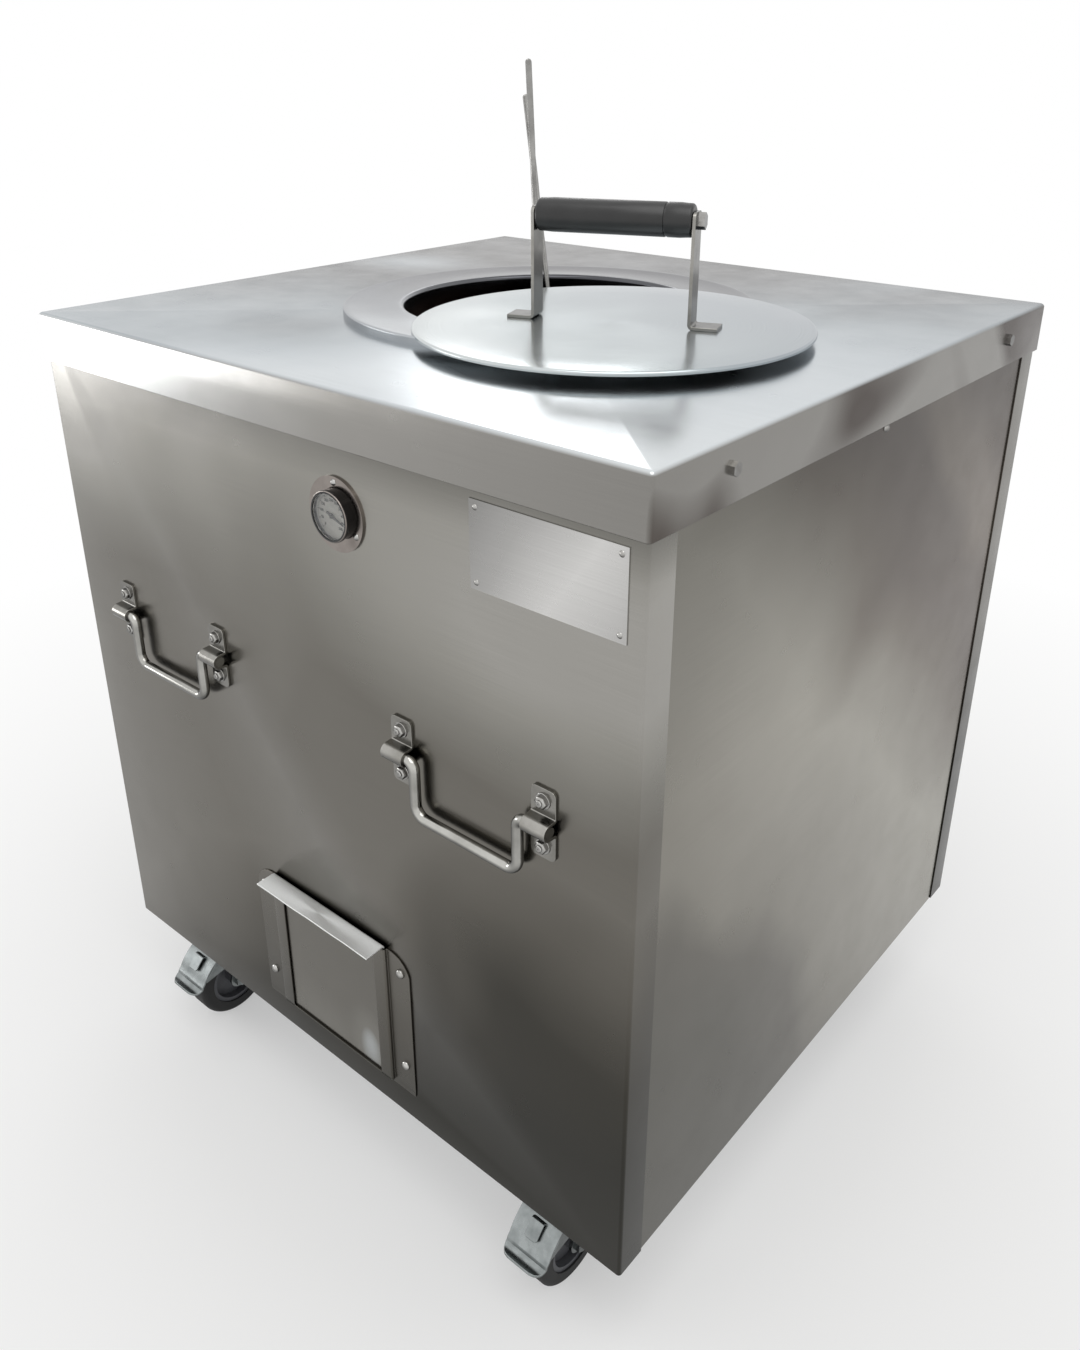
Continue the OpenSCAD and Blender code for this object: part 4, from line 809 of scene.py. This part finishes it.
def handle_fasteners():
    """Each saddle's studs: a washer, a hexagon nut and the stud's chamfered end."""
    shapes = []
    washer, nut, inner_nut, corner, stud = SADDLE_T + 1.1, 3.6, 5, 5.8, SADDLE_T + 6.2
    washer_section = [(0.4, washer), (6.9, washer), (7.2, washer - 0.3), (7.2, SADDLE_T),
                      (0.4, SADDLE_T)]
    stud_section = [(0.4, stud), (2.4, stud), (3.0, stud - 0.6), (3.0, -9), (0.4, -9)]
    for side in (-1, 1):
        for end in (-1, 1):
            x = side * HANDLE_X + end * SADDLE_SPAN / 2
            for z in (HANDLE_Z - SADDLE_BOLTS / 2, HANDLE_Z + SADDLE_BOLTS / 2):
                shapes.append(turned_stud(x, z, washer_section))
                shapes.append(hex_head(x, z, washer, corner, nut))
                shapes.append(turned_stud(x, z, stud_section))
                shapes.append(hex_head(x, z, -SHEET - inner_nut, corner, inner_nut))
    piece("hexagon_handle_nuts", *joined(*shapes), BOLT_STEEL, "casing", "bolt_steel",
          ["handle_bolts"])


def guide_screws():
    """Domed screws through the guides' feet."""
    shapes, in_from_edge, head_r, rise = [], 12, 5.0, 2.9
    section = [(around(head_r, a)[0], SHEET + 0.6 + around(rise, a)[1])
               for a in (86, 70, 50, 30, 12, 0)]
    section += [(head_r, SHEET), (2.0, SHEET), (2.0, -5), (0.4, -5)]
    for side in (-1, 1):
        for z in GUIDE_SCREWS:
            x = DOOR_X + side * (GUIDE_HALF - in_from_edge)
            shapes.append(turned_stud(x, z, section))
    piece("domed_guide_screws", *joined(*shapes), BOLT_STEEL, "casing", "bolt_steel",
          ["draught_screws"])


def wavy_door():
    """The draught plate with its folded lip, a little wavy from being bent by hand."""
    low, high, out, reach, thick, half = 166, 336, 2.75, 25.3, 1.5, 84
    path = rounded_path([(out, low), (out, high - thick / 2), (reach, high - thick / 2)], 1.9, 6)
    extra = [Vector((out + 6 * k, high - thick / 2)) for k in (1, 2, 3)]
    path = path[:-1] + extra + path[-1:]

    def bow(u, v, w):
        share = max(0.0, (u - out - 2) / (reach - out))
        return share * (-0.45 + 0.35 * math.sin(w / 23) + 0.25 * math.sin(w / 9 + 1))

    shape = strip(path, thick, lambda s, t: (DOOR_X - half, DOOR_X + half), out_front, 28, bow)
    piece("folded_draught_door", *shape, DOOR_STEEL, "draught_door", "duct_steel",
          ["draught_door"], 0.3)


def door_guides():
    """Two Z-shaped rails and a ledge, with the upper outer corners cut round."""
    low, high, lip_out, lip_end, wall, round_r = GUIDE_LOW, 332.2, 4.75, 70, 85.75, 26
    flat = SHEET / 2
    shapes = []
    for side in (-1, 1):
        path = rounded_path([(GUIDE_HALF, flat), (wall, flat), (wall, lip_out),
                             (lip_end, lip_out)], 1.3, 5)
        more = [Vector((GUIDE_HALF - d, flat)) for d in (1.5, 4, 8, 13, 18, 24)]
        path = path[:1] + more + path[1:]

        def span(s, total):
            """The upper outer corner is a little less than a quarter circle."""
            x = max(round_r - s, 0)
            rise = math.sqrt(max(round_r ** 2 - (x * 0.97) ** 2, 0)) * 0.999
            return low, high - round_r + rise

        shapes.append(strip(path, SHEET, span,
                            lambda u, v, w, s=side: cabinet(DOOR_X + s * u, FRONT_Y - v, w)))
    # A strip joins the guides' feet, and the door rests on a narrow ledge between them
    for half, ends in ((115.8, [(flat, 159.2), (flat, low + 0.9)]),
                       (86.4, [(1.4, low + flat), (5.5, low + flat)])):
        shapes.append(strip([Vector(end) for end in ends], SHEET,
                            lambda s, t, h=half: (DOOR_X - h, DOOR_X + h), out_front))
    piece("folded_door_guides", *joined(*shapes), GUIDE_STEEL, "casing", "duct_steel",
          ["draught_frame"], 0.3)


# ---------------------------------------------------------------- thermometer

def on_dial(u, v, w):
    """u mm right and v mm up on the dial, w mm out of its flange."""
    return cabinet(GAUGE_X + u, GAUGE_Y - w, GAUGE_Z + v)


def dial_marks():
    """The printed scale: short and long ticks and plain numbers from 0 to 500."""
    steps, per_number, outer, number_r = 50, 5, 18.3, 13.4
    ticks = []
    for k in range(steps + 1):
        inner, half = (16.0, 0.38) if k % per_number == 0 else (17.0, 0.2)
        c, s = around(1, FIRST_MARK - SCALE_SWEEP * k / steps)
        outline = [(r * c - h * s, r * s + h * c) for r, h in
                   ((inner, -half), (outer, -half), (outer, half), (inner, half))]
        ticks.append(slab_shape(outline, DIAL_FACE, DIAL_FACE + 0.08, on_dial))
    piece("dial_ticks", *joined(*ticks), DIAL_INK, "casing", "pointer_black", smooth=False)
    numbers = steps // per_number
    for k in range(numbers + 1):
        words = bpy.data.curves.new(f"dial_number_{k * 50}", "FONT")
        words.body = str(k * 50)
        words.size = 3.3 * MM
        words.offset = 0.15 * MM
        words.extrude = 0.04 * MM
        words.align_x = "CENTER"
        words.align_y = "CENTER"
        words.materials.append(DIAL_INK)
        made = bpy.data.objects.new(f"dial_number_{k * 50}", words)
        bpy.context.scene.collection.objects.link(made)
        spot = around(number_r, FIRST_MARK - SCALE_SWEEP * k / numbers)
        made.location = on_dial(*spot, DIAL_FACE + 0.05)
        made.rotation_euler = (math.pi / 2, 0, 0)
        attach(made, "casing")


def dial_bezel():
    """The bright ring that holds the window in the black case."""
    profile = arc((21.5, 7.2), 0.8, 200, -20, 10) + [(22.25, 6.2), (20.75, 6.2)]
    shape = lathed(profile, on_dial, 96)
    piece("bright_gauge_bezel", *shape, FLANGE_METAL, "casing", "flange_chrome")


# ---------------------------------------------------------------- rods

def leaning(foot, touch, rise=0):
    """A rod's own axes: its foot stands at a radius and an angle on the slab, and it leans on
    the mouth's lip at another angle. Local x is its flat width, and z runs up the rod."""
    gap = 0.7                                      # between the bar and the lip
    p = Vector((*around(*foot), POT_Z + 1 + rise))
    q = Vector((*around(MOUTH_R - ROD_R - gap, touch), LIP_TOP))
    u = (q - p).normalized()
    turn = (Matrix.Rotation(math.atan2(u.y, u.x), 3, "Z") @ Matrix.Rotation(math.acos(u.z), 3, "Y")
            @ Matrix.Rotation(math.radians(-95), 3, "Z"))

    def place(x, y, z):
        return cabinet(*(p + turn @ Vector((x, y, z))))
    return place


def forged_bar(stations, place, sides=20):
    """A bar through stations (y, z, tilt, half width, half thickness, squareness)."""
    verts, faces = [], []
    for y, z, tilt, a, b, power in stations:
        for k in range(sides):
            t = TAU * k / sides
            c, s = math.cos(t), math.sin(t)
            u = a * math.copysign(abs(c) ** (2 / power), c)
            v = b * math.copysign(abs(s) ** (2 / power), s)
            verts.append(place(u, y + v * math.cos(tilt), z - v * math.sin(tilt)))
    for i in range(len(stations) - 1):
        for k in range(sides):
            a, b = i * sides + k, i * sides + (k + 1) % sides
            faces.append((a, b, b + sides, a + sides))
    faces.append(tuple(range(sides)))
    faces.append(tuple(range(len(stations) * sides - 1, (len(stations) - 1) * sides - 1, -1)))
    return verts, faces


def flattened_end(length):
    """Stations of the hammered grip end: round bar, a taper and a flat with a round tip."""
    start, r, half = length - 90, ROD_R, 3.5
    out = []
    for k in range(7):
        t = k / 6
        e = t * t * (3 - 2 * t)
        out.append((0, start - 20 + 26 * t, 0, r + (half - r) * e, r - 1.5 * e, 2 + 1.2 * e))
    for k in range(1, 9):
        d = half * math.cos(math.pi / 2 * k / 8)
        out.append((0, length - d, 0,
                    max(half * math.sqrt(max(1 - (1 - d / half) ** 2, 0)), 0.3),
                    1.5 if k < 7 else 1.2, 3.2))
    return out


def bread_rods():
    """Two hammered bars: one ends in a hook, the other in a flat blade."""
    r, bend_r = ROD_R, 12
    hook = []
    for a in (90, 75, 60, 45, 30, 15, 0):
        y, z = around(bend_r, a)
        hook.append((y - bend_r, bend_r - z, math.radians(a), r, r, 2))
    hook += [(0, z, 0, r, r, 2) for z in (200, 500, 800)] + flattened_end(HOOK_L)
    piece("hammered_hook_bar", *forged_bar(hook, leaning((85, 117.5), 135.3, r)), ROD_STEEL,
          "bread_hook", "rod_steel", ["bread_hook"])
    blade = [(0, 0.2, 0, 3.2, 0.6, 3), (0, 3, 0, 4.0, 1.1, 3), (0, 30, 0, 4.0, 1.25, 3),
             (0, 42, 0, 3.4, 2.2, 2.4), (0, 52, 0, r, r, 2)]
    blade += [(0, z, 0, r, r, 2) for z in (200, 500, 780)] + flattened_end(SCRAPER_L)
    piece("hammered_scraper_bar", *forged_bar(blade, leaning((83.5, 42.1), 131.5)), ROD_STEEL,
          "bread_scraper", "rod_steel", ["bread_scraper"])


# ---------------------------------------------------------------- casters

def stamped_pedals():
    """Brake pedals: a shoe curved over the tyre, a dipped tread, side arms and a tab."""
    half, thick = 25, 2.5
    shoe = arc((-TRAIL, WHEEL_R), 58.25, 118, 152, 8)
    step = rounded_path([shoe[-1], (-89.3, 74.4), (-90.8, 70.6), (-103.6, 70.2)], 1.3, 4)
    tread = []
    for k in range(1, 7):
        t = k / 6
        tread.append(step[-2].lerp(step[-1], t) + Vector((0, -1.8 * math.sin(math.pi * t))))
    path = with_end_steps(shoe + step[1:-1] + tread, 3, both=False, steps=3)
    for name, side in (("left", -1), ("right", 1)):
        def at(u, v, w, side=side):
            return cabinet(side * CASTER_X + w, -CASTER_Y + u, v)

        parts = [strip(path, thick, round_ended(half, 14, both=False), at, 6)]
        pivot = (-24, 91.7)
        for hand in (-1, 1):
            boss = [tuple(p) for p in arc(pivot, 8, 100, -90, 12)]
            outline = boss + [(-31, 85.2), (-83.0, 77.5), (-84.2, 79.6), (-62.8, 101.2),
                              (-60.5, 101.6)]
            low, high = (22, 24.5) if hand > 0 else (-24.5, -22)
            parts.append(slab_shape(outline, low, high, at))
        tab = rounded_path([(-68.8, 97.0), (-72.6, 101.4), (-85.6, 87.2)], 2.0, 4)
        parts.append(strip(with_end_steps(tab, 3, both=False, steps=3), 2.0,
                           round_ended(7.5, 3, both=False), at))
        piece(f"stamped_{name}_pedal", *joined(*parts), ZINC, f"brake_front_{name}", "zinc",
              [f"pedal_front_{name}"], 0.35)


# ---------------------------------------------------------------- light, floor and camera

def seen_directly(tree):
    """1 for rays from the camera, off gloss or through glass, else 0."""
    ray = add(tree, "LightPath")
    camera_or_gloss = add(tree, "Math", {"operation": "MAXIMUM"},
                          {0: ray.outputs["Is Camera Ray"], 1: ray.outputs["Is Glossy Ray"]})
    shown = add(tree, "Math", {"operation": "MAXIMUM"},
                {0: camera_or_gloss.outputs[0], 1: ray.outputs["Is Transmission Ray"]})
    return shown.outputs[0]


def studio():
    """A white studio: an even pale world, a pale floor and three soft boxes."""
    world = bpy.data.worlds.new("white_room")
    bpy.context.scene.world = world
    world.use_nodes = True
    tree = world.node_tree
    tree.nodes.clear()
    out = tree.nodes.new("ShaderNodeOutputWorld")
    strength = mapped(tree, seen_directly(tree), 0.0, 1.0, 0.72, 1.0)
    sky = add(tree, "Background", {"Color": (1, 1, 1, 1)}, {"Strength": strength})
    tree.links.new(sky.outputs[0], out.inputs["Surface"])

    stuff, tree, out = new_material("pale_floor")
    place = add(tree, "TexCoord").outputs["Object"]
    away = add(tree, "VectorMath", {"operation": "LENGTH"}, {0: place})
    # The floor fades into white from 0.45 to 1.7 m out, and keeps the oven's shadow
    far = mapped(tree, away.outputs["Value"], 0.45, 1.7, 0.4, 1.0)
    fade = add(tree, "Math", {"operation": "MULTIPLY"}, {0: far, 1: seen_directly(tree)})
    matte = add(tree, "BsdfDiffuse", {"Color": linear("#f1f1f0")})
    white = add(tree, "Emission", {"Color": (1, 1, 1, 1)})
    both = add(tree, "MixShader", {}, {0: fade.outputs[0], 1: matte.outputs[0],
                                       2: white.outputs[0]})
    finish_material(tree, out, both)
    bpy.ops.mesh.primitive_plane_add(size=60, location=(0, 0, -0.0005))
    floor = bpy.context.object
    floor.name = "floor"
    floor.data.materials.append(stuff)

    def soft_box(name, where, size, power):
        lamp = bpy.data.lights.new(name, "AREA")
        lamp.shape = "RECTANGLE"
        lamp.size, lamp.size_y = size
        lamp.energy = power
        made = bpy.data.objects.new(name, lamp)
        made.location = where
        made.rotation_euler = (Vector((0, 0, 0.6)) - Vector(where)).to_track_quat(
            "-Z", "Y").to_euler()
        bpy.context.scene.collection.objects.link(made)

    # A wide soft box overhead, a low one at the left and a faint one behind
    soft_box("overhead_box", (0.9, -0.6, 3.2), (2.2, 2.2), 22)
    soft_box("window_box", (-2.3, -1.35, 0.66), (1.1, 0.74), 11.5)
    soft_box("back_box", (-1.8, 2.0, 2.15), (0.8, 0.5), 3)


def photo_camera():
    """The photograph's own viewpoint, found from the cabinet's corners."""
    camera = bpy.data.cameras.new("photo_camera")
    camera.sensor_fit = "AUTO"
    camera.sensor_width = 36
    camera.lens = 30.95
    camera.shift_y = -0.0792
    camera.clip_end = 100
    made = bpy.data.objects.new("photo_camera", camera)
    made.location = (0.7695, -0.90545, 1.1178)
    made.rotation_euler = Euler((math.radians(66.10), math.radians(0.03), math.radians(40.47)))
    bpy.context.scene.collection.objects.link(made)
    bpy.context.scene.camera = made


photo_camera()
studio()
bpy.context.scene.view_settings.view_transform = "Standard"
dress_frame()
folded_cap()
casing_sheets()
spun_ring()
thrown_pot()
spun_lid()
lid_handle()
formed_saddles()
handle_fasteners()
wavy_door()
door_guides()
guide_screws()
dial_marks()
dial_bezel()
bread_rods()
stamped_pedals()
